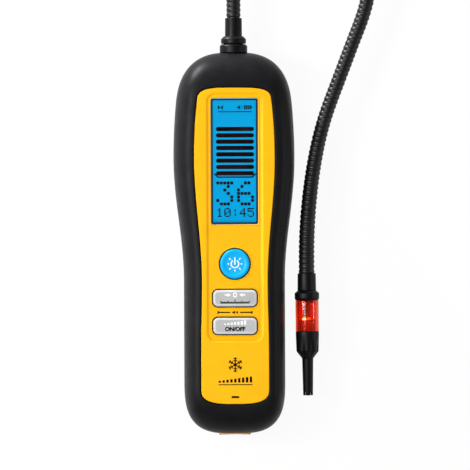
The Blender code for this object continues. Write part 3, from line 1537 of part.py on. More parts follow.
def make_tip(base):
    """The screw-on tip: a fluted barrel that tapers to the intake tube, and its filter."""
    start = base + GAP
    barrel_end = start + TIP_BARREL_LENGTH
    taper_end = barrel_end + TIP_TAPER_LENGTH
    end = taper_end + TIP_TUBE_LENGTH
    spigot = tip_spigot_radius()
    chamber = spigot - TIP_SPIGOT_WALL
    filter_z = start + TIP_BARREL_LENGTH / 4
    chamber_end = filter_z + FILTER_THICKNESS + GAP
    flute_start = start + TIP_BARREL_LENGTH / 4
    rings = [
        tip_ring(TIP_BORE, end),
        tip_ring(TIP_TUBE_END_RADIUS, end),
        tip_ring(TIP_TUBE_RADIUS, taper_end),
        tip_ring(TIP_BARREL_END_RADIUS, barrel_end, TIP_FLUTE_DEPTH),
        tip_ring(LENS_RADIUS - FACE_EDGE / 2, flute_start, TIP_FLUTE_DEPTH),
        tip_ring(LENS_RADIUS, flute_start - FACE_EDGE),
        tip_ring(LENS_RADIUS, start),
        tip_ring(spigot, start),
        tip_ring(spigot, start - TIP_SPIGOT_LENGTH),
        tip_ring(chamber, start - TIP_SPIGOT_LENGTH),
        tip_ring(chamber, chamber_end),
        tip_ring(TIP_BORE, chamber_end),
    ]
    tip = loft("probe_tip", rings, BLACK_PLASTIC, tube=True)
    notch = box(
        "tip_notch", TIP_NOTCH_WIDTH, 3 * TIP_TUBE_RADIUS, end - TIP_NOTCH_DEPTH, end + SURPLUS
    )
    shape(tip, "DIFFERENCE", [notch])
    tip_filter = turned(
        "tip_filter",
        disc(chamber - GAP, filter_z, filter_z + FILTER_THICKNESS),
        FILTER_WHITE,
        sides=SMALL_SIDES,
    )
    return [tip, tip_filter], [notch]


def main():
    """Builds the detector."""
    clear_scene()
    housing = bpy.data.objects.new("housing", None)
    bpy.context.scene.collection.objects.link(housing)
    pieces = [make_boot(), make_front_shell(), make_rear_shell(), make_door()]
    pieces += make_screws()
    pieces += make_display()
    pieces += [make_power_button(), make_keypad_mat(), make_board()]
    pieces += [make_key(f"{name}_button", y) for name, y in key_places()]
    pieces += [make_battery(), make_speaker(), make_pump(), make_sensor_cell()]
    pieces += [make_intake_hose(), make_socket()]
    pieces += make_gland()
    route = SmoothRoute(route_points())
    links = make_gooseneck(route)
    carry(housing, [*pieces, links[0]])
    frame = probe_frame(route)
    probe, lamps, lens_end = make_probe()
    tip, notches = make_tip(lens_end)
    for piece in (*probe, *lamps, *tip, *notches):
        piece.matrix_world = frame @ piece.matrix_basis
    carry(links[-1], [*probe, *lamps, *tip, *notches])


if __name__ == "__main__":
    main()
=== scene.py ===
"""Looks of a hand-held infrared refrigerant leak detector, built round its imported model.

The detector lies on its back: +X is to its right, +Y towards the gooseneck's gland and +Z out of
its face. Lengths are in metres, and colours are written as 0 to 255 as they should look.
"""

import json
import logging
import math
from collections.abc import Callable, Iterable, Sequence
from dataclasses import dataclass
from enum import Enum
from functools import cached_property

import bmesh
import bpy
import numpy as np
from mathutils import Matrix, Vector

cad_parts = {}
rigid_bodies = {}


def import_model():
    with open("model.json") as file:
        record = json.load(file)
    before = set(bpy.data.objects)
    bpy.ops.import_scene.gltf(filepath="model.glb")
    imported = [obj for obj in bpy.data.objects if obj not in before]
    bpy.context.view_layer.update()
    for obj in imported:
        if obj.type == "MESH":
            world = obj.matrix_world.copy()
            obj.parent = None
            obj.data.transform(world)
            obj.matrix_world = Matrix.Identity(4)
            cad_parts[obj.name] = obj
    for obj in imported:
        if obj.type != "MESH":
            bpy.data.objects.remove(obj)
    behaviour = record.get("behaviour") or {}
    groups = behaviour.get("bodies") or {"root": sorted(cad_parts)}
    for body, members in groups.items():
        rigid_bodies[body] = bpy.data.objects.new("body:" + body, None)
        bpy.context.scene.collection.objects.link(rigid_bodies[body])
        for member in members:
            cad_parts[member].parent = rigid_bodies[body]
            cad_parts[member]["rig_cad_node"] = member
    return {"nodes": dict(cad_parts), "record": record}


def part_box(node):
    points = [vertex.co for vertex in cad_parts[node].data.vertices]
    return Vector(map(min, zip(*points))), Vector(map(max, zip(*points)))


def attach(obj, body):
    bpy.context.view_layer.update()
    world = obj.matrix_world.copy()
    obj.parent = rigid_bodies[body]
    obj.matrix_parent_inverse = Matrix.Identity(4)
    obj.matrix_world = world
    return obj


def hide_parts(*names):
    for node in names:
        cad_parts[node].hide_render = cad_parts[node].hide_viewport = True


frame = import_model()

LOG = logging.getLogger("leak_detector")
MM = 0.001
NOISE_RANGE = (0.3, 0.7)
LEAST_ROUGHNESS = 0.02

Colour = tuple[int, int, int]
Point = tuple[float, float]
Span = tuple[float, float]
Spot = tuple[float, float, float]
Ring = list[Spot]
Row = list[bmesh.types.BMVert]

# Sizes that several sub-assemblies share
GAP = 0.3 * MM
BODY_DEPTH = 37.0 * MM
PARTING_Z = BODY_DEPTH / 2
HALF_LENGTH = 100.8 * MM
BOOT_WALL = 2.2 * MM
INK = 0.02 * MM
SIDES = 96
HOUSING = "housing"
PROBE = "probe_head"
UP_Y = Matrix.Translation((0, 0, PARTING_Z)) @ Matrix.Rotation(-math.pi / 2, 4, "X")


def linear(colour: Colour) -> tuple[float, float, float, float]:
    """Turns a colour as it should look into the light values that a shader takes.

    Args:
        colour: Red, green and blue, 0 to 255.

    Returns:
        The linear colour, with full opacity.
    """
    values = []
    for channel in colour:
        share = channel / 255
        values.append(share / 12.92 if share <= 0.04045 else ((share + 0.055) / 1.055) ** 2.4)
    return (*values, 1.0)


def shaded(colour: Colour, share: float) -> Colour:
    """Returns the colour made darker, or lighter where the share is over 1."""
    return tuple(min(255, round(channel * share)) for channel in colour)


class Grain(Enum):
    """The fine structure of a surface: the size of its grains in metres."""

    POLISHED = 1.6 * MM
    SATIN = 0.22 * MM
    SPARK = 0.42 * MM
    FELT = 0.12 * MM


class Graph:
    """A node tree, with one short call for each kind of node that the looks use."""

    def __init__(self, owner: bpy.types.Material | bpy.types.World) -> None:
        """Takes over the nodes of a material or the world.

        Args:
            owner: The material or the world, whose nodes are switched on here.
        """
        owner.use_nodes = True
        self.tree = owner.node_tree

    @cached_property
    def shader(self) -> bpy.types.Node:
        """Returns the material's own surface shader."""
        return self.tree.nodes["Principled BSDF"]

    @cached_property
    def place(self) -> bpy.types.NodeSocket:
        """Returns the place on the object, adding its node on first use."""
        return self.add("ShaderNodeTexCoord").outputs["Object"]

    def add(self, kind: str) -> bpy.types.Node:
        """Adds a node and returns it."""
        return self.tree.nodes.new(kind)

    def link(self, source: bpy.types.NodeSocket, target: bpy.types.NodeSocket) -> None:
        """Joins two sockets."""
        self.tree.links.new(source, target)

    def put(self, name: str, value: float | Sequence[float]) -> None:
        """Sets one input of the surface shader to a plain value."""
        self.shader.inputs[name].default_value = value

    def feed(self, name: str, source: bpy.types.NodeSocket) -> None:
        """Joins a socket to one input of the surface shader."""
        self.link(source, self.shader.inputs[name])

    def noise(self, size: float, detail: float = 3.0) -> bpy.types.NodeSocket:
        """Adds a soft random pattern.

        Args:
            size: The size of its spots, in metres.
            detail: How many finer layers it holds.

        Returns:
            The pattern's value, about 0.3 to 0.7.
        """
        node = self.add("ShaderNodeTexNoise")
        node.inputs["Scale"].default_value = 1 / size
        node.inputs["Detail"].default_value = detail
        self.link(self.place, node.inputs["Vector"])
        return node.outputs["Fac"]

    def axis(self, name: str) -> bpy.types.NodeSocket:
        """Adds a reading of one axis of the row frame.

        Args:
            name: X, Y or Z.

        Returns:
            The place along that axis, in metres.
        """
        node = self.add("ShaderNodeSeparateXYZ")
        self.link(self.place, node.inputs[0])
        return node.outputs[name]

    def maths(
        self, kind: str, first: bpy.types.NodeSocket, second: bpy.types.NodeSocket | float = 0.0
    ) -> bpy.types.NodeSocket:
        """Adds a sum.

        Args:
            kind: The name of the operation.
            first: The value.
            second: The value or the number that it is combined with.

        Returns:
            The result.
        """
        node = self.add("ShaderNodeMath")
        node.operation = kind
        self.link(first, node.inputs[0])
        if isinstance(second, bpy.types.NodeSocket):
            self.link(second, node.inputs[1])
        else:
            node.inputs[1].default_value = second
        return node.outputs[0]

    def remap(
        self, value: bpy.types.NodeSocket, source: Span, target: Span = (0.0, 1.0)
    ) -> bpy.types.NodeSocket:
        """Stretches a value from one range to another.

        Args:
            value: The value to stretch.
            source: The range that it is read over.
            target: The range that it is turned into.

        Returns:
            The stretched value, held inside its range.
        """
        node = self.add("ShaderNodeMapRange")
        self.link(value, node.inputs["Value"])
        node.inputs["From Min"].default_value = source[0]
        node.inputs["From Max"].default_value = source[1]
        node.inputs["To Min"].default_value = target[0]
        node.inputs["To Max"].default_value = target[1]
        return node.outputs["Result"]

    def mix(
        self, share: bpy.types.NodeSocket, first: Colour, second: Colour
    ) -> bpy.types.NodeSocket:
        """Blends two colours.

        Args:
            share: 0 gives the first colour and 1 the second.
            first: The first colour.
            second: The second colour.

        Returns:
            The blended colour.
        """
        node = self.add("ShaderNodeMix")
        node.data_type = "RGBA"
        self.link(share, node.inputs[0])
        node.inputs[6].default_value = linear(first)
        node.inputs[7].default_value = linear(second)
        return node.outputs[2]

    def bump(self, height: bpy.types.NodeSocket, depth: float) -> None:
        """Raises the surface by a pattern.

        Args:
            height: The pattern, 0 to 1.
            depth: How far it rises, in metres.
        """
        node = self.add("ShaderNodeBump")
        node.inputs["Distance"].default_value = depth
        self.link(height, node.inputs["Height"])
        self.feed("Normal", node.outputs["Normal"])


@dataclass(frozen=True)
class Finish:
    """A surface finish: its colour and gloss, and how unevenly the skin carries both."""

    name: str
    slot: str
    colour: Colour
    roughness: float
    specular: float = 0.5
    metallic: float = 0.0
    mottle: float = 0.04
    mottle_size: float = 9 * MM
    gloss_spread: float = 0.05
    grain: Grain = Grain.SATIN
    grain_depth: float = 0.012 * MM

    def material(self) -> bpy.types.Material:
        """Returns the finish's material, making it on first use."""
        found = bpy.data.materials.get(self.name)
        if found:
            return found
        made = bpy.data.materials.new(self.name)
        graph = Graph(made)
        graph.put("Metallic", self.metallic)
        graph.put("Specular IOR Level", self.specular)
        self.paint(graph)
        self.polish(graph)
        return made

    def paint(self, graph: Graph) -> None:
        """Colours the surface, a little darker and lighter from place to place.

        Args:
            graph: The material's nodes.
        """
        spots = graph.remap(graph.noise(self.mottle_size), NOISE_RANGE)
        darker = shaded(self.colour, 1 - self.mottle)
        lighter = shaded(self.colour, 1 + self.mottle)
        graph.feed("Base Color", graph.mix(spots, darker, lighter))

    def polish(self, graph: Graph) -> None:
        """Gives the surface its gloss and its grain.

        Args:
            graph: The material's nodes.
        """
        low = max(LEAST_ROUGHNESS, self.roughness - self.gloss_spread)
        high = self.roughness + self.gloss_spread
        smears = graph.remap(graph.noise(self.mottle_size / 2), NOISE_RANGE, (low, high))
        graph.feed("Roughness", smears)
        graph.bump(graph.noise(self.grain.value, 2.0), self.grain_depth)


@dataclass(frozen=True)
class ClearFinish(Finish):
    """A finish that lets light through."""

    clearness: float = 1.0
    bending: float = 1.45

    def polish(self, graph: Graph) -> None:
        """Adds the clearness to the plain gloss.

        Args:
            graph: The material's nodes.
        """
        super().polish(graph)
        graph.put("Transmission Weight", self.clearness)
        graph.put("IOR", self.bending)


@dataclass(frozen=True)
class GlowingFinish(Finish):
    """A finish that gives off light of its own colour."""

    glow: Colour = (255, 255, 255)
    strength: float = 1.0

    def polish(self, graph: Graph) -> None:
        """Adds the glow to the plain gloss.

        Args:
            graph: The material's nodes.
        """
        super().polish(graph)
        graph.put("Emission Color", linear(self.glow))
        graph.put("Emission Strength", self.strength)


@dataclass(frozen=True)
class LensFinish(ClearFinish):
    """Clear red plastic, lit from inside: brightest where the lamps are."""

    glow: Colour = (222, 54, 10)
    dim: Colour = (150, 16, 4)
    lamp_y: float = -41.5 * MM
    reach: float = 9 * MM
    strength: float = 0.1

    def paint(self, graph: Graph) -> None:
        """Colours the lens, with a glow that fades away from the lamps.

        Args:
            graph: The material's nodes.
        """
        super().paint(graph)
        away = graph.maths("ABSOLUTE", graph.maths("SUBTRACT", graph.axis("Y"), self.lamp_y))
        share = graph.remap(away, (0.0, self.reach), (1.0, 0.0))
        graph.feed("Emission Color", graph.mix(share, self.dim, self.glow))
        graph.put("Emission Strength", self.strength)


@dataclass(frozen=True)
class ScreenFinish(Finish):
    """A backlit screen: an even glow, with painted shade towards its long sides and its foot."""

    unlit: Colour = (0, 16, 26)
    # Painted shade: the darker colour that the glow turns to near the long sides and the foot.
    edge_painted_shade: Colour = (0, 118, 168)
    half_width: float = 12.3 * MM
    side_shade_falloff: float = 1.5 * MM
    foot_y: float = 9.8 * MM
    foot_shade_falloff: float = 2.8 * MM
    strength: float = 0.96

    def paint(self, graph: Graph) -> None:
        """Lights the screen from behind, and paints shade towards its long sides and its foot.

        Args:
            graph: The material's nodes.
        """
        graph.put("Base Color", linear(self.unlit))
        # Painted shade: the glow darkens towards the long sides and the foot.
        across = graph.maths("ABSOLUTE", graph.axis("X"))
        side = graph.remap(across, (self.half_width - self.side_shade_falloff, self.half_width))
        foot = graph.remap(graph.axis("Y"), (self.foot_y + self.foot_shade_falloff, self.foot_y))
        colour = graph.mix(graph.maths("MAXIMUM", side, foot), self.colour, self.edge_painted_shade)
        graph.feed("Emission Color", colour)
        graph.put("Emission Strength", self.strength)


RUBBER = Finish(
    "boot_rubber_skin", "boot_rubber", (23, 23, 25), 0.42, 0.06, mottle=0.08,
    grain=Grain.SPARK, grain_depth=0.03 * MM,
)
YELLOW = Finish(
    "yellow_moulding", "yellow_plastic", (255, 184, 10), 0.5, 0.12, mottle=0.015,
    grain_depth=0.008 * MM,
)
# Painted shade: the bezel takes a darker copy of the face's yellow, as it lies in shade at the
# housing's end.
BEZEL_YELLOW_PAINTED_SHADE = Finish("yellow_bezel_painted_shade", "yellow_plastic", (214, 150, 16), 0.42, 0.4, mottle=0.03)
BLACK = Finish(
    "black_moulding", "black_plastic", (24, 24, 26), 0.42, 0.5, mottle=0.1,
    grain=Grain.SPARK, grain_depth=0.016 * MM,
)
FITTING_BLACK = Finish("black_fitting", "black_plastic", (11, 11, 13), 0.42, 0.12, mottle=0.08)
NECK_BLACK = Finish(
    "neck_coat", "gooseneck_black", (13, 13, 15), 0.44, 0.3, mottle=0.12, mottle_size=4 * MM,
    grain_depth=0.006 * MM,
)
# Painted shade: near-black rings and bands put in the gaps round the keys, the button and the
# window.
GAP_SHADE_BLACK = Finish("painted_gap_shade", "boot_rubber", (10, 10, 14), 0.7, 0.2)
GREY = Finish("key_face", "grey_plastic", (180, 182, 182), 0.42, 0.4, mottle=0.02)
# Painted highlight: a lighter copy of the keys' grey, for their rounded edges.
GREY_EDGE_PAINTED_HIGHLIGHT = Finish("key_edge_painted_highlight", "grey_plastic", (204, 206, 207), 0.45, 0.2, mottle=0.02)
BLUE = Finish(
    "button_blue", "blue_plastic", (0, 174, 238), 0.4, 0.2, mottle=0.015,
    grain_depth=0.004 * MM,
)
WHITE_INK = Finish("white_ink", "white_plastic", (250, 250, 248), 0.5, 0.3, mottle=0.01)
BLACK_INK = Finish("black_ink", "black_plastic", (12, 10, 10), 0.7, 0.05, mottle=0.1)
LCD_INK = Finish("lcd_ink", "lcd_glass", (36, 8, 6), 0.7, 0.03, mottle=0.1)
SCREEN = ScreenFinish("lcd_screen", "lcd_glass", (0, 170, 232), 0.6, 0.03)
WINDOW = ClearFinish(
    "clear_window", "clear_plastic", (250, 252, 252), 0.03, 0.2, mottle=0.0,
    gloss_spread=0.01, grain=Grain.POLISHED, grain_depth=0.001 * MM, bending=1.2,
)
HOSE = ClearFinish("clear_hose", "clear_plastic", (230, 238, 240), 0.15, clearness=0.7)
LENS = LensFinish(
    "red_lens_skin", "red_lens", (218, 76, 30), 0.12, 0.2, mottle=0.1,
    grain=Grain.POLISHED, grain_depth=0.02 * MM, clearness=0.97, bending=1.3,
)
WHITE_LAMP = GlowingFinish(
    "lamp_lit", "lamp_white", (255, 240, 225), 0.3, glow=(255, 250, 235), strength=18.0
)
AMBER_LAMP = GlowingFinish(
    "lamp_amber", "lamp_white", (255, 214, 120), 0.3, glow=(255, 190, 60), strength=2.2
)
LAMP_BOARD = Finish("lamp_board_white", "lamp_white", (226, 214, 200), 0.45)
WHITE = Finish("white_moulding", "white_plastic", (222, 222, 219), 0.5)
SILICONE = Finish("grey_silicone", "key_rubber", (200, 200, 194), 0.65, grain_depth=0.01 * MM)
GREEN = Finish("board_mask", "board_green", (22, 90, 50), 0.4, 0.5, mottle=0.1, mottle_size=2 * MM)
STEEL = Finish("plated_steel", "steel", (196, 196, 198), 0.28, metallic=1.0, mottle=0.05)
ALUMINIUM = Finish("machined_cell", "cell_aluminium", (180, 182, 186), 0.36, metallic=1.0)
SLEEVE = Finish("battery_wrap", "battery_sleeve", (30, 70, 142), 0.3, 0.5, mottle=0.06)
FELT = Finish(
    "white_felt", "filter_white", (236, 236, 231), 0.95, 0.1, grain=Grain.FELT,
    grain_depth=0.05 * MM,
)
INSERT_BRASS = Finish(
    "insert_brass", "black_plastic", (176, 132, 96), 0.4, 0.4, mottle=0.2, mottle_size=3 * MM
)

# The finish for each material slot of the model's own nodes, and for single nodes
NODE_FINISHES = {
    "black_plastic": BLACK,
    "steel": STEEL,
    "clear_plastic": WINDOW,
    "white_plastic": WHITE,
    "key_rubber": SILICONE,
    "board_green": GREEN,
    "battery_sleeve": SLEEVE,
    "cell_aluminium": ALUMINIUM,
    "filter_white": FELT,
    "boot_rubber": RUBBER,
    "yellow_plastic": YELLOW,
    "lcd_glass": SCREEN,
    "blue_plastic": BLUE,
    "grey_plastic": GREY,
    "gooseneck_black": NECK_BLACK,
    "red_lens": LENS,
    "lamp_white": LAMP_BOARD,
}
OWN_FINISHES = {"intake_hose": HOSE, "threaded_insert": INSERT_BRASS}


class Draft:
    """A mesh in the making: rows of points that are joined into skins, fills and turned forms."""

    def __init__(self) -> None:
        """Starts an empty mesh."""
        self.bm = bmesh.new()

    def row(self, points: Iterable[Sequence[float]]) -> Row:
        """Adds a row of points and returns it."""
        return [self.bm.verts.new(point) for point in points]

    def skin(self, rows: Sequence[Row], closed: bool = False) -> None:
        """Joins closed loops of the same number of points, one after another.

        Args:
            rows: The loops.
            closed: Whether the last loop is joined to the first.
        """
        pairs = list(zip(rows, rows[1:]))
        if closed:
            pairs.append((rows[-1], rows[0]))
        for near, far in pairs:
            for index in range(len(near)):
                after = (index + 1) % len(near)
                corners = dict.fromkeys((near[index], near[after], far[after], far[index]))
                self.bm.faces.new(corners)

    def stack(
        self, levels: Iterable[tuple[Sequence[Point], float]], closed: bool = False
    ) -> list[Row]:
        """Adds flat outlines one above another and joins them.

        Args:
            levels: Each outline with its height.
            closed: Whether the last outline is joined to the first.

        Returns:
            The rows of points.
        """
        rows = [self.row((x, y, z) for x, y in outline) for outline, z in levels]
        self.skin(rows, closed)
        return rows

    def cap(self, row: Row) -> None:
        """Closes a loop with one flat face."""
        self.bm.faces.new(row)

    def fill(self, *loops: Row) -> None:
        """Fills the flat region inside the first loop, leaving the other loops open.

        Args:
            loops: The outer loop, and then the holes.
        """
        edges = []
        for loop in loops:
            for first, second in zip(loop, loop[1:] + loop[:1]):
                found = self.bm.edges.get((first, second))
                edges.append(found or self.bm.edges.new((first, second)))
        bmesh.ops.triangle_fill(self.bm, use_beauty=True, edges=edges, normal=(0, 0, 1))

    def turn(
        self,
        profile: Sequence[Point],
        sides: int,
        closed: bool = False,
        reach: Callable[[float, float, float], float] | None = None,
    ) -> None:
        """Adds a form turned about Z.

        Args:
            profile: Radius and Z of each point of its section.
            sides: How many points go round it.
            closed: Whether the section is a ring's, and not open with its ends on the axis.
            reach: Gives a radius from the profile's radius, Z and the angle, for flutes.
        """
        rows = []
        for radius, z in profile:
            if radius == 0:
                rows.append([self.bm.verts.new((0, 0, z))] * sides)
                continue
            points = []
            for side in range(sides):
                angle = math.tau * side / sides
                out = reach(radius, z, angle) if reach else radius
                points.append((out * math.cos(angle), out * math.sin(angle), z))
            rows.append(self.row(points))
        self.skin(rows, closed)

    def prism(self, outline: Sequence[Point], low: float, high: float) -> None:
        """Adds an upright solid over a flat outline.

        Args:
            outline: The outline's points.
            low: The height of its foot.
            high: The height of its top.
        """
        for row in self.stack(((outline, low), (outline, high))):
            self.cap(row)

    def solid(self, name: str, place: Matrix | None = None) -> bpy.types.Object:
        """Ends the draft and puts its mesh into the scene.

        Args:
            name: The object's name.
            place: Where the draft's own frame lies in the row frame.

        Returns:
            The object, whose own place is the origin.
        """
        bmesh.ops.recalc_face_normals(self.bm, faces=self.bm.faces)
        mesh = bpy.data.meshes.new(name)
        self.bm.to_mesh(mesh)
        self.bm.free()
        if place is not None:
            mesh.transform(place)
        obj = bpy.data.objects.new(name, mesh)
        bpy.context.scene.collection.objects.link(obj)
        return obj


def dress(
    obj: bpy.types.Object,
    finish: Finish,
    body: str,
    stands_for: Sequence[str] = (),
    crease: float = 40.0,
    weighted: bool = False,
) -> bpy.types.Object:
    """Finishes a piece and sets it on its body.

    Args:
        obj: The piece.
        finish: Its finish.
        body: The body that it rides on.
        stands_for: The model's nodes that it takes the place of.
        crease: The angle in degrees above which an edge stays sharp.
        weighted: Whether flat faces keep their shading up to their rounded edges.

    Returns:
        The piece.
    """
    obj.data.materials.clear()
    obj.data.materials.append(finish.material())
    obj.data.shade_smooth()
    obj.data.set_sharp_from_angle(angle=math.radians(crease))
    if weighted:
        modifier = obj.modifiers.new("even_shading", "WEIGHTED_NORMAL")
        modifier.keep_sharp = True
        modifier.weight = 100
    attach(obj, body)
    if stands_for:
        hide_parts(*stands_for)
    LOG.info("%s: %d faces", obj.name, len(obj.data.polygons))
    return obj


def cut(obj: bpy.types.Object, cutters: Sequence[bpy.types.Object]) -> bpy.types.Object:
    """Cuts shapes out of a piece, and removes the shapes.

    Args:
        obj: The piece.
        cutters: The shapes.

    Returns:
        The piece.
    """
    for cutter in cutters:
        modifier = obj.modifiers.new(cutter.name, "BOOLEAN")
        modifier.object = cutter
        modifier.solver = "EXACT"
    graph = bpy.context.evaluated_depsgraph_get()
    mesh = bpy.data.meshes.new_from_object(obj.evaluated_get(graph))
    obj.modifiers.clear()
    obj.data = mesh
    for cutter in cutters:
        bpy.data.objects.remove(cutter, do_unlink=True)
    return obj


def softened(
    points: Sequence[Point], radius: float, steps: int = 4, closed: bool = False
) -> list[Point]:
    """Rounds the corners of a profile.

    Args:
        points: The profile's corners.
        radius: How far from each corner its rounding starts.
        steps: How many points each rounding takes.
        closed: Whether the profile is a ring's section.

    Returns:
        The rounded profile.
    """
    corners = [Vector(point) for point in points]
    if closed:
        triples = zip(corners[-1:] + corners[:-1], corners, corners[1:] + corners[:1])
        rounded = []
    else:
        triples = zip(corners, corners[1:], corners[2:])
        rounded = [tuple(corners[0])]
    for before, corner, after in triples:
        reach = min(radius, (before - corner).length / 2.1, (after - corner).length / 2.1)
        start = corner + (before - corner).normalized() * reach
        end = corner + (after - corner).normalized() * reach
        for step in range(steps + 1):
            t = step / steps
            point = start * (1 - t) ** 2 + corner * (2 * t * (1 - t)) + end * t**2
            rounded.append((max(0.0, point.x), point.y))
    if not closed:
        rounded.append(tuple(corners[-1]))
    return rounded


def turned_ring(
    name: str,
    profile: Sequence[Point],
    corner: float,
    place: Matrix,
    finish: Finish,
    body: str,
    nodes: Sequence[str] = (),
) -> bpy.types.Object:
    """Builds a turned ring with softened corners.

    Args:
        name: The piece's name.
        profile: Its section.
        corner: How far from each corner its rounding starts.
        place: Where its axis lies.
        finish: Its finish.
        body: The body that it rides on.
        nodes: The model's nodes that it takes the place of.

    Returns:
        The piece.
    """
    draft = Draft()
    draft.turn(softened(profile, corner, closed=True), SIDES, closed=True)
    return dress(draft.solid(name, place), finish, body, nodes, crease=50)


def rounded_rectangle(
    width: float, height: float, corner: float, middle: Point = (0.0, 0.0), steps: int = 8
) -> list[Point]:
    """Gives the points round a rectangle with rounded corners.

    Args:
        width: Its size along X.
        height: Its size along Y.
        corner: The radius of its corners.
        middle: Where its centre is.
        steps: How many steps each corner takes.

    Returns:
        The points, counter-clockwise.
    """
    points = []
    for quarter, (side, up) in enumerate(((1, 1), (-1, 1), (-1, -1), (1, -1))):
        for step in range(steps + 1):
            angle = math.pi / 2 * (quarter + step / steps)
            x = middle[0] + side * (width / 2 - corner) + corner * math.cos(angle)
            y = middle[1] + up * (height / 2 - corner) + corner * math.sin(angle)
            points.append((x, y))
    return points


@dataclass(frozen=True)
class Oblong:
    """A rectangle with rounded corners, which can be drawn larger or smaller all round."""

    width: float
    height: float
    corner: float
    middle: Point = (0.0, 0.0)
    steps: int = 8

    def grown(self, reach: float = 0.0) -> list[Point]:
        """Gives its points.

        Args:
            reach: How far it is grown on each side, or shrunk where this is negative.

        Returns:
            The points, counter-clockwise.
        """
        width, height = self.width + 2 * reach, self.height + 2 * reach
        return rounded_rectangle(width, height, self.corner + reach, self.middle, self.steps)


@dataclass(frozen=True)
class Plan:
    """An outline with a wide head and a narrower grip, the same left and right of X = 0."""

    top: float
    bottom: float
    head_half: float
    head_taper: float
    grip_half: float
    top_cap: float
    top_roundness: float
    bottom_cap: float
    bottom_roundness: float
    foot_swell: float = 0.0
    head_y: float = 45.0 * MM
    grip_y: float = -20.0 * MM
    foot_y: float = -24.0 * MM
    foot_run: float = 30.0 * MM
    samples: int = 300

    def side(self, y: np.ndarray) -> np.ndarray:
        """Gives the half width before the ends are rounded.

        Args:
            y: Places along the outline.

        Returns:
            The half width at each place.
        """
        rise = np.clip((y - self.head_y) / (self.top - self.head_y), 0.0, 1.0)
        ease = eased((self.head_y - y) / (self.head_y - self.grip_y))
        narrowing = (self.head_half - self.grip_half) * ease
        swelling = self.foot_swell * eased((self.foot_y - y) / self.foot_run)
        return self.head_half - self.head_taper * rise**2 - narrowing + swelling

    def right_half(self) -> np.ndarray:
        """Returns points down the right side, from the top of the outline to its bottom."""
        turn = np.linspace(0, math.pi / 2, self.samples)
        rise, spread = rounding(turn, self.top_roundness)
        fall, narrowing = rounding(turn[::-1], self.bottom_roundness)
        top_y = self.top - self.top_cap * (1 - rise)
        bottom_y = self.bottom + self.bottom_cap * (1 - fall)
        middle_y = np.linspace(
            self.top - self.top_cap, self.bottom + self.bottom_cap, self.samples
        )
        y = np.concatenate((top_y, middle_y, bottom_y))
        share = np.concatenate((spread, np.ones(self.samples), narrowing))
        return np.column_stack((self.side(y) * share, y))


def eased(share: np.ndarray) -> np.ndarray:
    """Gives a smooth step from 0 to 1, as the share goes from 0 to 1."""
    return (1 - np.cos(np.pi * np.clip(share, 0.0, 1.0))) / 2


def rounding(turn: np.ndarray, power: float) -> tuple[np.ndarray, np.ndarray]:
    """Gives the two legs of a superellipse quarter.

    Args:
        turn: Angles from 0 to a quarter turn.
        power: How square the quarter is. 2 gives a circle.

    Returns:
        The falling leg and the rising one.
    """
    return np.abs(np.cos(turn)) ** (2 / power), np.abs(np.sin(turn)) ** (2 / power)


@dataclass
class BodyShape:
    """The housing's outline, the face's outline, and the loops between the two."""

    half_loop: int = 140
    bend_reach: float = 25.0 * MM
    body_share: float = 1.8
    body: Plan = Plan(
        HALF_LENGTH, -HALF_LENGTH, 32.0 * MM, 5.0 * MM, 26.7 * MM, 29.0 * MM, 2.9, 29.0 * MM, 3.1
    )
    face: Plan = Plan(
        82.05 * MM, -85.0 * MM, 21.55 * MM, 2.6 * MM, 17.65 * MM, 7.0 * MM, 3.5, 8.5 * MM, 3.0,
        0.5 * MM,
    )

    def __post_init__(self) -> None:
        """Works out the two loops, whose points correspond."""
        halves = [plan.right_half() for plan in (self.body, self.face)]
        weights = [self.bend_weight(half) for half in halves]
        shares = (self.body_share, 1.0)
        shared = sum(share * weight / weight[-1] for share, weight in zip(shares, weights))
        wanted = np.linspace(0.0, shared[-1], self.half_loop + 1)
        loops = []
        for half in halves:
            right = np.column_stack([np.interp(wanted, shared, half[:, axis]) for axis in (0, 1)])
            loops.append(np.concatenate((right, right[-2:0:-1] * (-1, 1))))
        self.body_loop, self.face_loop = loops
        self.border = np.linalg.norm(self.face_loop - self.body_loop, axis=1)
        self.inward = (self.face_loop - self.body_loop) / self.border[:, None]

    def bend_weight(self, points: np.ndarray) -> np.ndarray:
        """Measures length along a curve, counted longer where it bends.

        Args:
            points: The curve's points.

        Returns:
            The running length at each point.
        """
        steps = np.diff(points, axis=0)
        heading = np.unwrap(np.arctan2(steps[:, 1], steps[:, 0]))
        turning = np.abs(np.gradient(heading))
        weight = np.cumsum(np.hypot(steps[:, 0], steps[:, 1]) + self.bend_reach * turning)
        return np.concatenate(([0.0], weight))

    def ring(self, depth: float | np.ndarray, z: float) -> Ring:
        """Gives a loop at one depth in from the housing's outline.

        Args:
            depth: The depth towards the face, the same all round or one for each point.
            z: The loop's height.

        Returns:
            The loop's points.
        """
        flat = self.body_loop + self.inward * np.broadcast_to(depth, self.border.shape)[:, None]
        return [(x, y, z) for x, y in flat]

    def arch(
        self,
        start: float,
        end: float | np.ndarray,
        base_z: float,
        crown_z: float,
        power: float,
        steps: int,
        skip_first: bool = False,
    ) -> list[Ring]:
        """Gives loops over a rounded edge.

        Args:
            start: The depth at the foot of the arch.
            end: The depth at its crown.
            base_z: The height of the foot.
            crown_z: The height of the crown.
            power: How square the arch is.
            steps: How many steps it takes.
            skip_first: Whether the foot's own loop is left out.

        Returns:
            The loops, from foot to crown.
        """
        rings = []
        for step in range(1 if skip_first else 0, steps + 1):
            level, rise = rounding(np.array(math.pi / 2 * step / steps), power)
            depth = end - (end - start) * level
            rings.append(self.ring(depth, float(base_z + (crown_z - base_z) * rise)))
        return rings


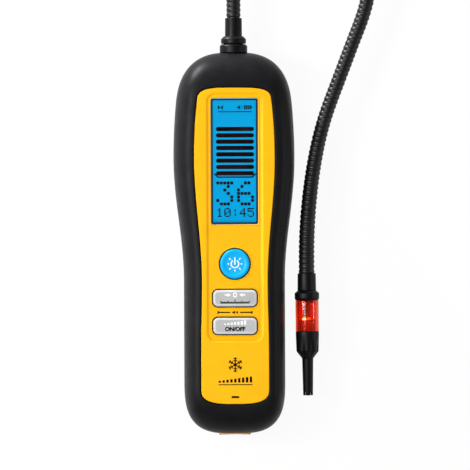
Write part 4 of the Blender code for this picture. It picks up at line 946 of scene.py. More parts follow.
@dataclass
class Boot:
    """The rubber boot, moulded over the housing, with a soft lip round the face and the back."""

    shape: BodyShape
    front_power: float = 2.3
    back_power: float = 2.6
    back_rounding: float = 7.0 * MM
    lip: float = 0.55 * MM
    front_steps: int = 26
    back_steps: int = 14
    inner_steps: int = 4
    lip_steps: int = 4
    gland_hole: float = 5.9 * MM
    gland_cut: Span = (80 * MM, 110 * MM)
    socket: Oblong = Oblong(17.2 * MM, 11.6 * MM, 2.3 * MM)
    socket_cut: Span = (-2 * MM, 5 * MM)

    def lip_rings(self, crown_z: float, inward: float) -> list[Ring]:
        """Gives the loops over the lip of a window.

        Args:
            crown_z: The height of the lip's top.
            inward: 1 where the lip turns down from its top, and -1 where it turns up.

        Returns:
            The loops, from the top of the lip to its wall.
        """
        rings = []
        for step in range(self.lip_steps + 1):
            angle = math.pi / 2 * step / self.lip_steps
            depth = self.shape.border - self.lip * (1 - math.sin(angle))
            z = crown_z - inward * self.lip * (1 - math.cos(angle))
            rings.append(self.shape.ring(depth, z))
        return rings

    def build(self) -> bpy.types.Object:
        """Returns the boot."""
        shape = self.shape
        border = shape.border
        crown = BODY_DEPTH - BOOT_WALL
        front = shape.arch(0, border, PARTING_Z, BODY_DEPTH, self.front_power, self.front_steps)
        inner_front = shape.arch(
            BOOT_WALL, border, PARTING_Z, crown, self.front_power, self.inner_steps
        )
        inner_back = shape.arch(
            BOOT_WALL, self.back_rounding, PARTING_Z, BOOT_WALL, self.back_power,
            self.inner_steps, skip_first=True,
        )
        back = shape.arch(
            0, self.back_rounding, PARTING_Z, 0, self.back_power, self.back_steps, skip_first=True
        )
        rings = front[:-1] + self.lip_rings(BODY_DEPTH, 1) + inner_front[::-1] + inner_back
        rings += [shape.ring(border, BOOT_WALL)] + self.lip_rings(0, -1)[::-1] + back[::-1]
        draft = Draft()
        draft.skin([draft.row(ring) for ring in rings], closed=True)
        boot = draft.solid("boot_skin")
        hole = Draft()
        low, high = self.gland_cut
        hole.turn(((0, low), (self.gland_hole, low), (self.gland_hole, high), (0, high)), 64)
        socket = Draft()
        low, high = self.socket_cut
        socket.prism(self.socket.grown(), -HALF_LENGTH + low, -HALF_LENGTH + high)
        cut(boot, [hole.solid("gland_hole", UP_Y), socket.solid("socket_hole", UP_Y)])
        return dress(boot, RUBBER, HOUSING, ["boot"], crease=50)


@dataclass
class Face:
    """The yellow face, with the sloped recess and the raised rims round what sits in it."""

    shape: BodyShape
    edge: float = 0.5 * MM
    edge_steps: int = 5
    panel: Oblong = Oblong(30.4 * MM, 131.8 * MM, 5.0 * MM, (0, 13.5 * MM), 12)
    panel_depth: float = 0.9 * MM
    panel_slope: float = 1.8 * MM
    plate: float = 2.2 * MM
    slope_steps: int = 10
    rim_width: float = 0.8 * MM
    rim_height: float = 0.35 * MM
    rim_steps: int = 4
    window: Oblong = Oblong(24.9 * MM, 66.3 * MM, 1.0 * MM, (0, 42.95 * MM))
    upper_key: Oblong = Oblong(24.1 * MM, 9.8 * MM, 3.1 * MM, (0, -29.0 * MM))
    lower_key: Oblong = Oblong(24.1 * MM, 9.8 * MM, 3.1 * MM, (0, -43.6 * MM))
    button_radius: float = 8.4 * MM
    button_y: float = -11.0 * MM
    circle_steps: int = 72
    slot: Oblong = Oblong(4.2 * MM, 1.1 * MM, 1.1 * MM * 0.45, (0, -81.0 * MM), 4)
    slot_depth: float = 0.3 * MM
    slot_shade_floor: float = 0.2 * MM
    frame: Oblong = Oblong(16.6 * MM, 11.0 * MM, 2.0 * MM)
    frame_levels: tuple[Point, ...] = (
        (0.35 * MM, -0.5 * MM),
        (0.1 * MM, -0.4 * MM),
        (0.0, -0.15 * MM),
        (0.0, 3.6 * MM),
    )
    frame_crown: float = 0.5 * MM
    frame_bore: float = 3.9 * MM
    frame_bore_ends: Span = (-1 * MM, 5 * MM)

    def openings(self) -> list[Callable[[float], list[Point]]]:
        """Returns the opening outlines, each as a function of how far it is grown."""

        def circle(grow: float) -> list[Point]:
            """Gives the round opening's outline, grown by a distance."""
            turns = [math.tau * step / self.circle_steps for step in range(self.circle_steps)]
            radius = self.button_radius + grow
            return [(radius * math.cos(a), self.button_y + radius * math.sin(a)) for a in turns]

        return [self.window.grown, circle, self.upper_key.grown, self.lower_key.grown]

    def rim(self, draft: Draft, outline: Callable[[float], list[Point]], base: float) -> list[Row]:
        """Adds a raised rim and the wall of the opening inside it.

        Args:
            draft: The face's draft.
            outline: The opening's outline as a function of its growth.
            base: The height of the panel round it.

        Returns:
            The rim's rows, from the panel to the foot of the wall.
        """
        levels = [(outline(self.rim_width), base)]
        for step in range(1, self.rim_steps * 2):
            share = step / (self.rim_steps * 2)
            z = base + self.rim_height * math.sin(math.pi * min(share * 1.25, 1) * 0.8)
            levels.append((outline(self.rim_width * (1 - share)), z))
        return draft.stack([*levels, (outline(0), base), (outline(0), base - self.plate)])

    def build(self) -> list[bpy.types.Object]:
        """Returns the face, the slot's dark floor painted as shade, and the yellow half bezel."""
        shape = self.shape
        top = BODY_DEPTH
        base = top - self.panel_depth
        foot = base - self.plate
        draft = Draft()
        outer = [draft.row(shape.ring(shape.border + GAP, foot))]
        for step in range(self.edge_steps + 1):
            angle = math.pi / 2 * step / self.edge_steps
            depth = shape.border + GAP + self.edge * (1 - math.cos(angle))
            z = top - self.edge * (1 - math.sin(angle))
            outer.append(draft.row(shape.ring(depth, z)))
        draft.skin(outer)
        levels = []
        for step in range(self.slope_steps + 1):
            share = step / self.slope_steps
            drop = self.panel_depth * (1 - math.cos(math.pi * share)) / 2
            levels.append((self.panel.grown(-self.panel_slope * share), top - drop))
        slope = draft.stack(levels)
        slot = self.slot.grown()
        slot_z = top - self.slot_depth
        slot_top, slot_low = draft.stack(((slot, top), (slot, slot_z)))
        draft.fill(slot_low)
        draft.fill(outer[-1], slope[0], slot_top)
        rims = [self.rim(draft, outline, base) for outline in self.openings()]
        draft.fill(slope[-1], *[rim[0] for rim in rims])
        draft.fill(outer[0], *[rim[-1] for rim in rims])
        face = dress(
            draft.solid("face_skin"), YELLOW, HOUSING, ["front_shell"], crease=35, weighted=True
        )
        # Painted shade: the slot's dark floor stands in for the shade inside the slot.
        floor = Draft()
        floor.prism(slot, slot_z + INK, slot_z + self.slot_shade_floor)
        slot_shade_floor = dress(floor.solid("slot_shade_floor"), BLACK_INK, HOUSING)
        return [face, slot_shade_floor, self.bezel()]

    def bezel(self) -> bpy.types.Object:
        """Returns the yellow half of the frame round the charging socket, darker yellow as painted
        shade.
        """
        draft = Draft()
        rows = []
        for inset, depth in self.frame_levels:
            crown = self.frame_crown if depth < 0 else 0.0
            rows.append(
                draft.row(
                    (x, y, depth + crown * (2 * x / self.frame.width) ** 2)
                    for x, y in self.frame.grown(-inset)
                )
            )
        draft.skin(rows)
        draft.fill(rows[0])
        draft.cap(rows[-1])
        place = Matrix.Translation((0, -HALF_LENGTH, 0)) @ UP_Y
        frame_piece = draft.solid("socket_frame", place)
        bore = Draft()
        radius = self.frame_bore
        low, high = self.frame_bore_ends
        bore.turn(((0, low), (radius, low), (radius, high), (0, high)), 48)
        lower = Draft()
        block = Oblong(40 * MM, 20 * MM, 1 * MM, (0, -HALF_LENGTH))
        lower.prism(block.grown(), -1 * MM, PARTING_Z + GAP)
        cut(frame_piece, [bore.solid("frame_bore", place), lower.solid("frame_lower")])
        return dress(frame_piece, BEZEL_YELLOW_PAINTED_SHADE, HOUSING, crease=40)


class Strokes:
    """Flat marks, drawn with strokes, dots and bars and then raised by a film of ink."""

    def __init__(self) -> None:
        """Starts with no marks."""
        self.outlines: list[list[Point]] = []

    def shape(self, corners: Iterable[Point], middle: Point = (0.0, 0.0)) -> None:
        """Adds a filled shape.

        Args:
            corners: Its corners in millimetres, counted from its middle.
            middle: Where its middle is.
        """
        self.outlines.append([(middle[0] + x * MM, middle[1] + y * MM) for x, y in corners])

    def horn(
        self, places: tuple[float, float, float], y: float, small: float, tall: float
    ) -> None:
        """Adds a loudspeaker, with its mouth to the right.

        Args:
            places: The X of its back, its neck and its mouth, in millimetres.
            y: Where its middle line is.
            small: Half the height of its back, in millimetres.
            tall: Half the height of its mouth, in millimetres.
        """
        back, neck, front = places
        lower = [(back, -small), (neck, -small), (front, -tall)]
        upper = [(front, tall), (neck, small), (back, small)]
        self.shape(lower + upper, (0.0, y))

    def bar(self, start: Point, end: Point, width: float) -> None:
        """Adds a straight stroke with square ends.

        Args:
            start: One end of its middle line.
            end: The other end.
            width: Its width.
        """
        along = (Vector(end) - Vector(start)).normalized()
        side = Vector((-along.y, along.x)) * width / 2
        first, second = Vector(start), Vector(end)
        corners = (first + side, first - side, second - side, second + side)
        self.outlines.append([tuple(corner) for corner in corners])

    def path(self, points: Sequence[Point], width: float) -> None:
        """Adds a stroke through several points.

        Args:
            points: The points of its middle line.
            width: Its width.
        """
        for start, end in zip(points, points[1:]):
            self.bar(start, end, width)
        for point in points[1:-1]:
            self.dot(point, width / 2, 8)

    def dot(self, middle: Point, radius: float, sides: int = 16) -> None:
        """Adds a round mark.

        Args:
            middle: Its centre.
            radius: Its radius.
            sides: How many corners it has.
        """
        turns = [math.tau * (side + 0.5) / sides for side in range(sides)]
        self.outlines.append(
            [(middle[0] + radius * math.cos(a), middle[1] + radius * math.sin(a)) for a in turns]
        )

    def pill(self, middle: Point, width: float, height: float, share: float = 0.49) -> None:
        """Adds a bar with rounded ends.

        Args:
            middle: Its centre.
            width: Its size along X.
            height: Its size along Y.
            share: The radius of its corners as a share of its height.
        """
        self.outlines.append(rounded_rectangle(width, height, height * share, middle, 6))

    def arc(self, middle: Point, radius: float, width: float, start: float, end: float) -> None:
        """Adds a bent stroke.

        Args:
            middle: The centre that it bends round.
            radius: The radius of its middle line.
            width: Its width.
            start: The angle where it starts, in degrees.
            end: The angle where it ends.
        """
        steps = max(4, round(abs(end - start) / 10))
        turns = [math.radians(start + (end - start) * step / steps) for step in range(steps + 1)]
        outer = [(radius + width / 2, a) for a in turns]
        inner = [(radius - width / 2, a) for a in reversed(turns)]
        self.outlines.append(
            [(middle[0] + r * math.cos(a), middle[1] + r * math.sin(a)) for r, a in outer + inner]
        )

    def matrix(self, figure: str, corner: Point, pitch: float, size: float) -> None:
        """Adds the lit dots of a dot-matrix figure.

        Args:
            figure: The figure's sign.
            corner: The centre of its top left dot.
            pitch: The distance between dots.
            size: The width of a dot.
        """
        for down, row in enumerate(FIGURES[figure]):
            for across, mark in enumerate(row):
                if mark == "1":
                    place = (corner[0] + across * pitch, corner[1] - down * pitch)
                    self.outlines.append(rounded_rectangle(size, size, size / 4, place, 2))

    def piece(self, name: str, z: float, finish: Finish, body: str) -> bpy.types.Object:
        """Raises the marks into a piece.

        Args:
            name: The piece's name.
            z: The height of the surface that they are printed on.
            finish: Their finish.
            body: The body that they ride on.

        Returns:
            The piece.
        """
        draft = Draft()
        for outline in self.outlines:
            draft.prism(outline, z, z + INK)
        return dress(draft.solid(name), finish, body)


FIGURES = {
    "0": ("01110", "10001", "10011", "10101", "11001", "10001", "01110"),
    "1": ("00100", "01100", "00100", "00100", "00100", "00100", "01110"),
    "3": ("11111", "00010", "00100", "00010", "00001", "10001", "01110"),
    "4": ("00010", "00110", "01010", "10010", "11111", "00010", "00010"),
    "5": ("11111", "10000", "11110", "00001", "00001", "10001", "01110"),
    "6": ("00110", "01000", "10000", "11110", "10001", "10001", "01110"),
    ":": ("00000", "00100", "00100", "00000", "00100", "00100", "00000"),
}


@dataclass
class Display:
    """The backlit screen with its dark marks, seen through the clear window."""

    middle_x: float = 0.35 * MM
    bar_top_y: float = 60.0 * MM
    bar_pitch: float = 3.33 * MM
    bar_count: int = 8
    bar_length: float = 20.1 * MM
    bar_height: float = 2.3 * MM
    bracket_y: float = 34.7 * MM
    bracket_half: float = 11.0 * MM
    digit_left: tuple[float, float] = (-8.8 * MM, 2.1 * MM)
    digit_top: float = 31.6 * MM
    digit_pitch: float = 1.84 * MM
    digit_dot: float = 1.62 * MM
    reading: str = "36"
    small_top: float = 18.1 * MM
    small_pitch: float = 0.68 * MM
    small_dot: float = 0.72 * MM
    small_reading: str = "10:45"
    icon_y: float = 71.4 * MM
    rule_y: float = 69.1 * MM
    window: Oblong = Oblong(24.26 * MM, 65.66 * MM, 0.7 * MM, (0, 42.95 * MM))
    # Width of the dark band round the window: painted shade of the window's inner wall.
    border: float = 0.75 * MM
    glass_edge: float = 0.2 * MM
    glass_corner: float = 0.4 * MM

    def build(self) -> list[bpy.types.Object]:
        """Returns the screen, its marks and the dark band round the window, which is painted shade.
        """
        low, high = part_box("lcd_module")
        screen = Draft()
        width, height = high.x - low.x, high.y - low.y
        middle = ((low.x + high.x) / 2, (low.y + high.y) / 2)
        edge, corner = self.glass_edge, self.glass_corner
        levels = []
        for inset, z in ((0.0, low.z), (0.0, high.z - edge), (edge, high.z)):
            size = (width - 2 * inset, height - 2 * inset)
            levels.append((rounded_rectangle(*size, corner, middle, 3), z))
        rows = screen.stack(levels)
        screen.cap(rows[0])
        screen.cap(rows[-1])
        glass = dress(screen.solid("lcd_screen_plate"), SCREEN, HOUSING, ["lcd_module"])
        marks = Strokes()
        self.draw_bars(marks)
        self.draw_figures(marks)
        self.draw_icons(marks)
        return [glass, marks.piece("lcd_marks", high.z, LCD_INK, HOUSING), self.painted_window_shade()]

    def painted_window_shade(self) -> bpy.types.Object:
        """Returns a thin dark band round the window, painted as the shade of the window's inner
        wall.
        """
        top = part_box("display_window")[1].z
        section = ((0, 0), (0, INK), (self.border, INK), (self.border, 0))
        draft = Draft()
        draft.stack([(self.window.grown(-inset), top + z) for inset, z in section], closed=True)
        return dress(draft.solid("painted_window_shade"), GAP_SHADE_BLACK, HOUSING)

    def draw_bars(self, marks: Strokes) -> None:
        """Draws the level bars and the cup-shaped line under them.

        Args:
            marks: Where the marks go.
        """
        for number in range(self.bar_count):
            place = (self.middle_x, self.bar_top_y - number * self.bar_pitch)
            marks.pill(place, self.bar_length, self.bar_height)
        left, right = self.middle_x - self.bracket_half, self.middle_x + self.bracket_half
        turn = 1.9 * MM
        path = (
            (left, self.bracket_y + turn),
            (left + turn, self.bracket_y),
            (right - turn, self.bracket_y),
            (right, self.bracket_y + turn),
        )
        marks.path(path, 0.75 * MM)

    def draw_figures(self, marks: Strokes) -> None:
        """Draws the large reading and the small one under it.

        Args:
            marks: Where the marks go.
        """
        for figure, left in zip(self.reading, self.digit_left):
            marks.matrix(figure, (left, self.digit_top), self.digit_pitch, self.digit_dot)
        start = self.middle_x - 14 * self.small_pitch
        for place, figure in enumerate(self.small_reading):
            left = start + place * 6 * self.small_pitch
            marks.matrix(figure, (left, self.small_top), self.small_pitch, self.small_dot)

    def draw_icons(self, marks: Strokes) -> None:
        """Draws the row of small signs at the top and the line under it.

        Args:
            marks: Where the marks go.
        """
        y = self.icon_y
        thin = 0.5 * MM
        marks.bar((-8.6 * MM, self.rule_y), (9.2 * MM, self.rule_y), thin)
        for x in (-8.4 * MM, -6.2 * MM):
            marks.bar((x, y - 1.1 * MM), (x, y + 1.1 * MM), thin)
        marks.shape(((-8.3, -0.9), (-7.3, 0), (-8.3, 0.9)), (0.0, y))
        marks.shape(((-6.3, 0.9), (-7.3, 0), (-6.3, -0.9)), (0.0, y))
        marks.horn((1.5, 2.2, 3.1), y, 0.45, 1.2)
        marks.arc((2.6 * MM, y), 1.5 * MM, 0.3 * MM, -38, 38)
        for number in range(4):
            marks.pill(((5.5 + number) * MM, y), 0.75 * MM, 2.2 * MM, 0.05)
        marks.pill((9.2 * MM, y), 0.5 * MM, 1.1 * MM, 0.1)


@dataclass
class Keypad:
    """The round power button and the two grey keys, with their printed signs."""

    key_width: float = 23.1 * MM
    key_height: float = 8.8 * MM
    key_corner: float = 2.6 * MM
    key_foot: float = 0.3 * MM
    edge_width: float = 1.15 * MM
    edge_drop: float = 0.5 * MM
    edge_steps: int = 6
    face_gap: float = 0.2 * MM
    face_sunk: float = 0.05 * MM
    face_proud: float = 0.02 * MM
    cap_depth: float = 3 * MM
    # The dark ring round each key and the button is painted shade of the gap round it.
    shade_skirt: float = 0.46 * MM
    shade_skirt_drop: float = 0.5 * MM
    shade_skirt_depth: float = 2 * MM
    shade_skirt_gap: float = 0.02 * MM
    button_radius: float = 7.92 * MM
    button_edge: float = 0.7 * MM
    dish: float = 0.25 * MM
    dish_steps: int = 8
    flat_radius: float = 4.6 * MM

    def build(self) -> list[bpy.types.Object]:
        """Returns the button, the keys and their prints."""
        pieces = self.power()
        for node, body in (("zero_button", "zero_key"), ("sensitivity_button", "sensitivity_key")):
            pieces += self.key(node, body)
        pieces += self.zero_print() + self.sensitivity_print()
        return pieces

    def power(self) -> list[bpy.types.Object]:
        """Returns the round button, its dark ring painted as the gap's shade, and its white sign.
        """
        low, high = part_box("power_button")
        y = (low.y + high.y) / 2
        place = Matrix.Translation((0, y, 0))
        flange = (high.x - low.x) / 2
        shoulder = high.z - self.cap_depth
        edge = self.button_edge
        profile = [
            (0, low.z),
            (flange, low.z),
            (flange, shoulder),
            (self.button_radius, shoulder),
            (self.button_radius, high.z - edge),
            (self.button_radius - edge, high.z),
        ]
        rounded = softened(profile + [(self.button_radius - 3 * edge, high.z)], 0.5 * edge, 5)
        rim = self.button_radius - 3 * edge
        for step in range(1, self.dish_steps + 1):
            share = step / self.dish_steps
            radius = rim - (rim - self.flat_radius) * share
            rounded.append((radius, high.z - self.dish * math.sin(math.pi / 2 * share)))
        rounded.append((0.0, high.z - self.dish))
        draft = Draft()
        draft.turn(rounded, SIDES)
        cap = dress(draft.solid("power_cap", place), BLUE, "power_key", ["power_button"], crease=50)
        ring = Draft()
        section = [(self.button_radius + out, high.z - drop) for out, drop in self.shade_skirt_section()]
        ring.turn(section, SIDES, closed=True)
        shade_skirt = dress(ring.solid("power_shade_skirt", place), GAP_SHADE_BLACK, "power_key")
        return [cap, shade_skirt, self.power_sign(y, high.z - self.dish)]

    def shade_skirt_section(self) -> tuple[Point, ...]:
        """Returns the painted shade ring's section: how far out and how far down each corner is."""
        near, far, low, top = self.shade_skirt_gap, self.shade_skirt, self.shade_skirt_depth, self.shade_skirt_drop
        return ((near, low), (far, low), (far, top), (near, top))

    def power_sign(self, y: float, z: float) -> bpy.types.Object:
        """Draws the power sign inside a ring of rays.

        Args:
            y: The Y of the button's centre.
            z: The height of the button's dished top.

        Returns:
            The sign.
        """
        marks = Strokes()
        width = 0.62 * MM
        marks.arc((0, y), 2.0 * MM, width, 122, 418)
        marks.pill((0, y + 1.55 * MM), width, 4.0 * MM, 0.07)
        for degrees in (0, 45, 135, 180, 225, 270, 315):
            turn = math.radians(degrees)
            near, far = (3.1 * MM, 4.2 * MM) if degrees % 90 else (3.0 * MM, 3.9 * MM)
            start = (near * math.cos(turn), y + near * math.sin(turn))
            end = (far * math.cos(turn), y + far * math.sin(turn))
            marks.bar(start, end, 0.58 * MM)
        return marks.piece("power_sign", z, WHITE_INK, "power_key")

    def key(self, node: str, body: str) -> list[bpy.types.Object]:
        """Builds one grey key, its edge lighter as a painted highlight, and its dark ring painted
        as the gap's shade.

        Args:
            node: The model's node that it stands for.
            body: The body that it rides on.

        Returns:
            The key's pieces.
        """
        low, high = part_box(node)
        y = (low.y + high.y) / 2
        flange = (high.x - low.x - self.key_width) / 2
        shoulder = high.z - self.cap_depth
        edge = self.edge_width
        outline = Oblong(self.key_width, self.key_height, self.key_corner, (0, y))
        foot = high.z - self.edge_drop - self.key_foot
        rise = self.edge_drop + self.key_foot
        levels = [(flange, low.z), (flange, shoulder), (0, shoulder), (0, foot)]
        for step in range(1, self.edge_steps):
            turn = math.pi / 2 * step / self.edge_steps
            levels.append((-edge * (1 - math.cos(turn)), foot + rise * math.sin(turn)))
        levels.append((-edge, high.z))
        draft = Draft()
        rows = draft.stack([(outline.grown(grow), z) for grow, z in levels])
        draft.cap(rows[0])
        draft.fill(rows[-1])
        # The key's body round its face takes the lighter grey: a painted highlight on the edge.
        key = dress(draft.solid(node + "_key"), GREY_EDGE_PAINTED_HIGHLIGHT, body, [node], crease=50, weighted=True)
        face = Draft()
        width = self.key_width - 2 * edge - self.face_gap
        height = self.key_height - 2 * edge - self.face_gap
        top = rounded_rectangle(width, height, self.key_corner - edge, (0, y))
        face.prism(top, high.z - self.face_sunk, high.z + self.face_proud)
        plate = dress(face.solid(node + "_face"), GREY, body)
        ring = Draft()
        section = self.shade_skirt_section()
        ring.stack([(outline.grown(out), high.z - drop) for out, drop in section], closed=True)
        shade_skirt = dress(ring.solid(node + "_shade_skirt"), GAP_SHADE_BLACK, body)
        return [key, plate, shade_skirt]

    def zero_print(self) -> list[bpy.types.Object]:
        """Returns the upper key's signs: a nought between two arrowheads, over a small scale."""
        low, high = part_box("zero_button")
        y = (low.y + high.y) / 2
        z = high.z + self.face_proud
        white = Strokes()
        up = y + 1.7 * MM
        white.arc((0, up + 0.35 * MM), 0.75 * MM, 0.52 * MM, 0, 180)
        white.arc((0, up - 0.35 * MM), 0.75 * MM, 0.52 * MM, 180, 360)
        for side in (-1, 1):
            x = side * 0.75 * MM
            white.bar((x, up - 0.4 * MM), (x, up + 0.4 * MM), 0.52 * MM)
            tip, tail = side * 2.2, side * 3.9
            white.shape(((tip, 0), (tail, -1), (tail, 1)), (0.0, up))
            white.bar((tail * MM, up), (side * 5.4 * MM, up), 0.6 * MM)
        black = Strokes()
        down = y - 1.75 * MM
        black.bar((-7.6 * MM, down - 0.75 * MM), (7.6 * MM, down - 0.75 * MM), 0.6 * MM)
        for number in range(-8, 9):
            tall = 1.7 if number == 0 else 1.2 if number % 4 == 0 else 0.7
            x = number * 0.93 * MM
            black.bar((x, down - 0.75 * MM), (x, down + (tall - 0.75) * MM), 0.5 * MM)
        return [
            white.piece("zero_sign", z, WHITE_INK, "zero_key"),
            black.piece("zero_scale", z, BLACK_INK, "zero_key"),
        ]

    def sensitivity_print(self) -> list[bpy.types.Object]:
        """Returns the lower key's signs: rising bars over the words on and off."""
        low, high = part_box("sensitivity_button")
        y = (low.y + high.y) / 2
        z = high.z + self.face_proud
        white = Strokes()
        for number in range(7):
            height = (0.5 + 0.27 * number) * MM
            x = (number - 3) * 1.75 * MM
            foot = y + 0.65 * MM
            white.bar((x, foot), (x, foot + height), 1.1 * MM)
        words = bpy.data.curves.new("on_off_words", "FONT")
        words.body = "ON/OFF"
        words.size = 2.9 * MM
        words.extrude = INK / 2
        words.offset = 0.16 * MM
        words.align_x = "CENTER"
        words.align_y = "CENTER"
        text = bpy.data.objects.new("on_off_draft", words)
        bpy.context.scene.collection.objects.link(text)
        graph = bpy.context.evaluated_depsgraph_get()
        mesh = bpy.data.meshes.new_from_object(text.evaluated_get(graph))
        bpy.data.objects.remove(text, do_unlink=True)
        mesh.transform(Matrix.Translation((0, y - 1.75 * MM, z + INK / 2)))
        printed = bpy.data.objects.new("on_off_print", mesh)
        bpy.context.scene.collection.objects.link(printed)
        return [
            white.piece("sensitivity_bars", z, WHITE_INK, "sensitivity_key"),
            dress(printed, BLACK_INK, "sensitivity_key"),
        ]


@dataclass
class FacePrint:
    """The black signs printed on the yellow face."""

    mute_y: float = -36.5 * MM
    flake_y: float = -64.0 * MM
    flake_radius: float = 3.9 * MM
    meter_y: float = -73.4 * MM
    panel_z: float = BODY_DEPTH - 0.9 * MM

    def build(self) -> list[bpy.types.Object]:
        """Returns the signs on the panel and those under it."""
        panel = Strokes()
        y = self.mute_y
        for side in (-1, 1):
            panel.bar((side * 2.6 * MM, y), (side * 8.9 * MM, y), 0.65 * MM)
            panel.bar((side * 8.9 * MM, y - 0.75 * MM), (side * 8.9 * MM, y + 0.75 * MM), 0.65 * MM)
        panel.horn((-1.5, -0.8, 0), y, 0.4, 1)
        for rise in (0.55 * MM, -0.55 * MM):
            panel.bar((0.55 * MM, y - rise), (1.6 * MM, y + rise), 0.42 * MM)
        lower = Strokes()
        self.snowflake(lower)
        self.meter(lower)
        return [
            panel.piece("mute_sign", self.panel_z, BLACK_INK, HOUSING),
            lower.piece("face_signs", BODY_DEPTH, BLACK_INK, HOUSING),
        ]

    def snowflake(self, marks: Strokes) -> None:
        """Draws a six-armed snowflake.

        Args:
            marks: Where the marks go.
        """
        width = 0.62 * MM
        for arm in range(6):
            turn = math.radians(90 + 60 * arm)
            along = Vector((math.cos(turn), math.sin(turn)))
            centre = Vector((0, self.flake_y))
            marks.bar(tuple(centre), tuple(centre + along * self.flake_radius), width)
            for share in (0.45, 0.75):
                for side in (-1, 1):
                    branch = math.radians(90 + 60 * arm + side * 58)
                    root = centre + along * self.flake_radius * share
                    end = root + Vector((math.cos(branch), math.sin(branch))) * 1.15 * MM
                    marks.bar(tuple(root), tuple(end), 0.5 * MM)

    def meter(self, marks: Strokes) -> None:
        """Draws a row of rising level bars between two end marks.

        Args:
            marks: Where the marks go.
        """
        for number in range(9):
            x = (number - 4) * 2.05 * MM
            height = (1.0 + 0.28 * number) * MM
            marks.pill((x, self.meter_y + height / 2), 1.25 * MM, height, 0.12)
        foot = self.meter_y - 1.1 * MM
        marks.bar((-9.0 * MM, foot), (9.0 * MM, foot), 0.5 * MM)


@dataclass
class Gland:
    """The fittings in the housing's end that hold the root of the gooseneck."""

    collar_radius: float = 7.3 * MM
    nut_radius: float = 6.62 * MM
    neck_radius: float = 5.6 * MM
    spigot_radius: float = 4.9 * MM
    ferrule_radius: float = 4.5 * MM
    ferrule_end_radius: float = 4.42 * MM
    mouth_radius: float = 3.85 * MM
    bore: float = 2.0 * MM
    seam: float = 0.03 * MM
    corner: float = 0.35 * MM

    def build(self) -> list[bpy.types.Object]:
        """Returns the gland's body, its nut and the ferrule on the gooseneck's root."""
        body_low, body_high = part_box("gland_body")
        nut_low, nut_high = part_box("gland_nut")
        ferrule_low, ferrule_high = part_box("base_ferrule")
        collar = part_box("boot")[1].y + self.seam
        collar_end = HALF_LENGTH + GAP + 4.0 * MM
        body = [
            (self.bore, body_low.y),
            (self.neck_radius + 1.8 * MM, body_low.y),
            (self.neck_radius + 1.8 * MM, body_low.y + 1.8 * MM),
            (self.neck_radius, body_low.y + 1.8 * MM),
            (self.neck_radius, collar),
            (self.collar_radius, collar),
            (self.collar_radius, collar_end - 0.9 * MM),
            (self.collar_radius - 1.1 * MM, collar_end),
            (self.spigot_radius, collar_end),
            (self.spigot_radius, body_high.y),
            (self.bore, body_high.y),
        ]
        nut = [
            (self.ferrule_radius + self.seam, nut_high.y),
            (self.ferrule_radius + self.seam, body_high.y + GAP),
            (self.spigot_radius + GAP, body_high.y + GAP),
            (self.spigot_radius + GAP, nut_low.y - GAP),
            (self.nut_radius, nut_low.y - GAP),
            (self.nut_radius, nut_high.y - 1.5 * MM),
            (self.nut_radius - 1.5 * MM, nut_high.y),
        ]
        ferrule = [
            (self.bore, ferrule_low.y),
            (self.ferrule_radius, ferrule_low.y),
            (self.ferrule_radius, nut_high.y + 0.5 * MM),
            (self.ferrule_end_radius, ferrule_high.y),
            (self.mouth_radius, ferrule_high.y),
            (self.mouth_radius, ferrule_high.y - 4 * MM),
            (self.bore, ferrule_high.y - 4 * MM),
        ]
        return [
            turned_ring(name, profile, self.corner, UP_Y, FITTING_BLACK, HOUSING, [node])
            for name, node, profile in (
                ("gland_collar", "gland_body", body),
                ("gland_ring_nut", "gland_nut", nut),
                ("root_ferrule", "base_ferrule", ferrule),
            )
        ]


class Route:
    """The gooseneck's middle line: a natural cubic spline, read by length along it."""

    def __init__(self, points: Sequence[Point], samples: int = 1800) -> None:
        """Fits the spline.

        Args:
            points: The points that it goes through.
            samples: How many places its length is measured at.
        """
        self.points = np.array(points)
        legs = np.linalg.norm(np.diff(self.points, axis=0), axis=1)
        self.knots = np.concatenate(([0.0], np.cumsum(legs)))
        self.bends = self.curvature()
        self.fine = np.linspace(0.0, self.knots[-1], samples)
        places = np.array([self.at_knot(value) for value in self.fine])
        steps = np.linalg.norm(np.diff(places, axis=0), axis=1)
        self.lengths = np.concatenate(([0.0], np.cumsum(steps)))
        self.length = float(self.lengths[-1])

    def curvature(self) -> np.ndarray:
        """Returns the second derivative at each knot, with straight ends."""
        count = len(self.knots)
        spans = np.diff(self.knots)
        slopes = np.diff(self.points, axis=0) / spans[:, None]
        system = np.eye(count)
        right = np.zeros((count, 2))
        for index in range(1, count - 1):
            before, after = spans[index - 1], spans[index]
            system[index, index - 1 : index + 2] = (before, 2 * (before + after), after)
            right[index] = 6 * (slopes[index] - slopes[index - 1])
        return np.linalg.solve(system, right)

    def at_knot(self, value: float) -> np.ndarray:
        """Reads the spline at a knot value.

        Args:
            value: The knot value.

        Returns:
            The point.
        """
        index = int(np.clip(np.searchsorted(self.knots, value) - 1, 0, len(self.knots) - 2))
        span = self.knots[index + 1] - self.knots[index]
        far = (value - self.knots[index]) / span
        near = 1 - far
        pull = (near**3 - near) * self.bends[index] + (far**3 - far) * self.bends[index + 1]
        return near * self.points[index] + far * self.points[index + 1] + pull * span**2 / 6

    def frame(self, length: float) -> tuple[np.ndarray, np.ndarray]:
        """Reads the route at a length, going straight on past its ends.

        Args:
            length: The length along it.

        Returns:
            The point there, and the unit direction.
        """
        held = min(max(length, 0.0), self.length)
        reach = 0.05 * MM
        low, high = max(held - reach, 0.0), min(held + reach, self.length)
        places = [self.at_knot(np.interp(value, self.lengths, self.fine)) for value in (low, high)]
        heading = (places[1] - places[0]) / np.linalg.norm(places[1] - places[0])
        middle = self.at_knot(np.interp(held, self.lengths, self.fine))
        return middle + heading * (length - held), heading


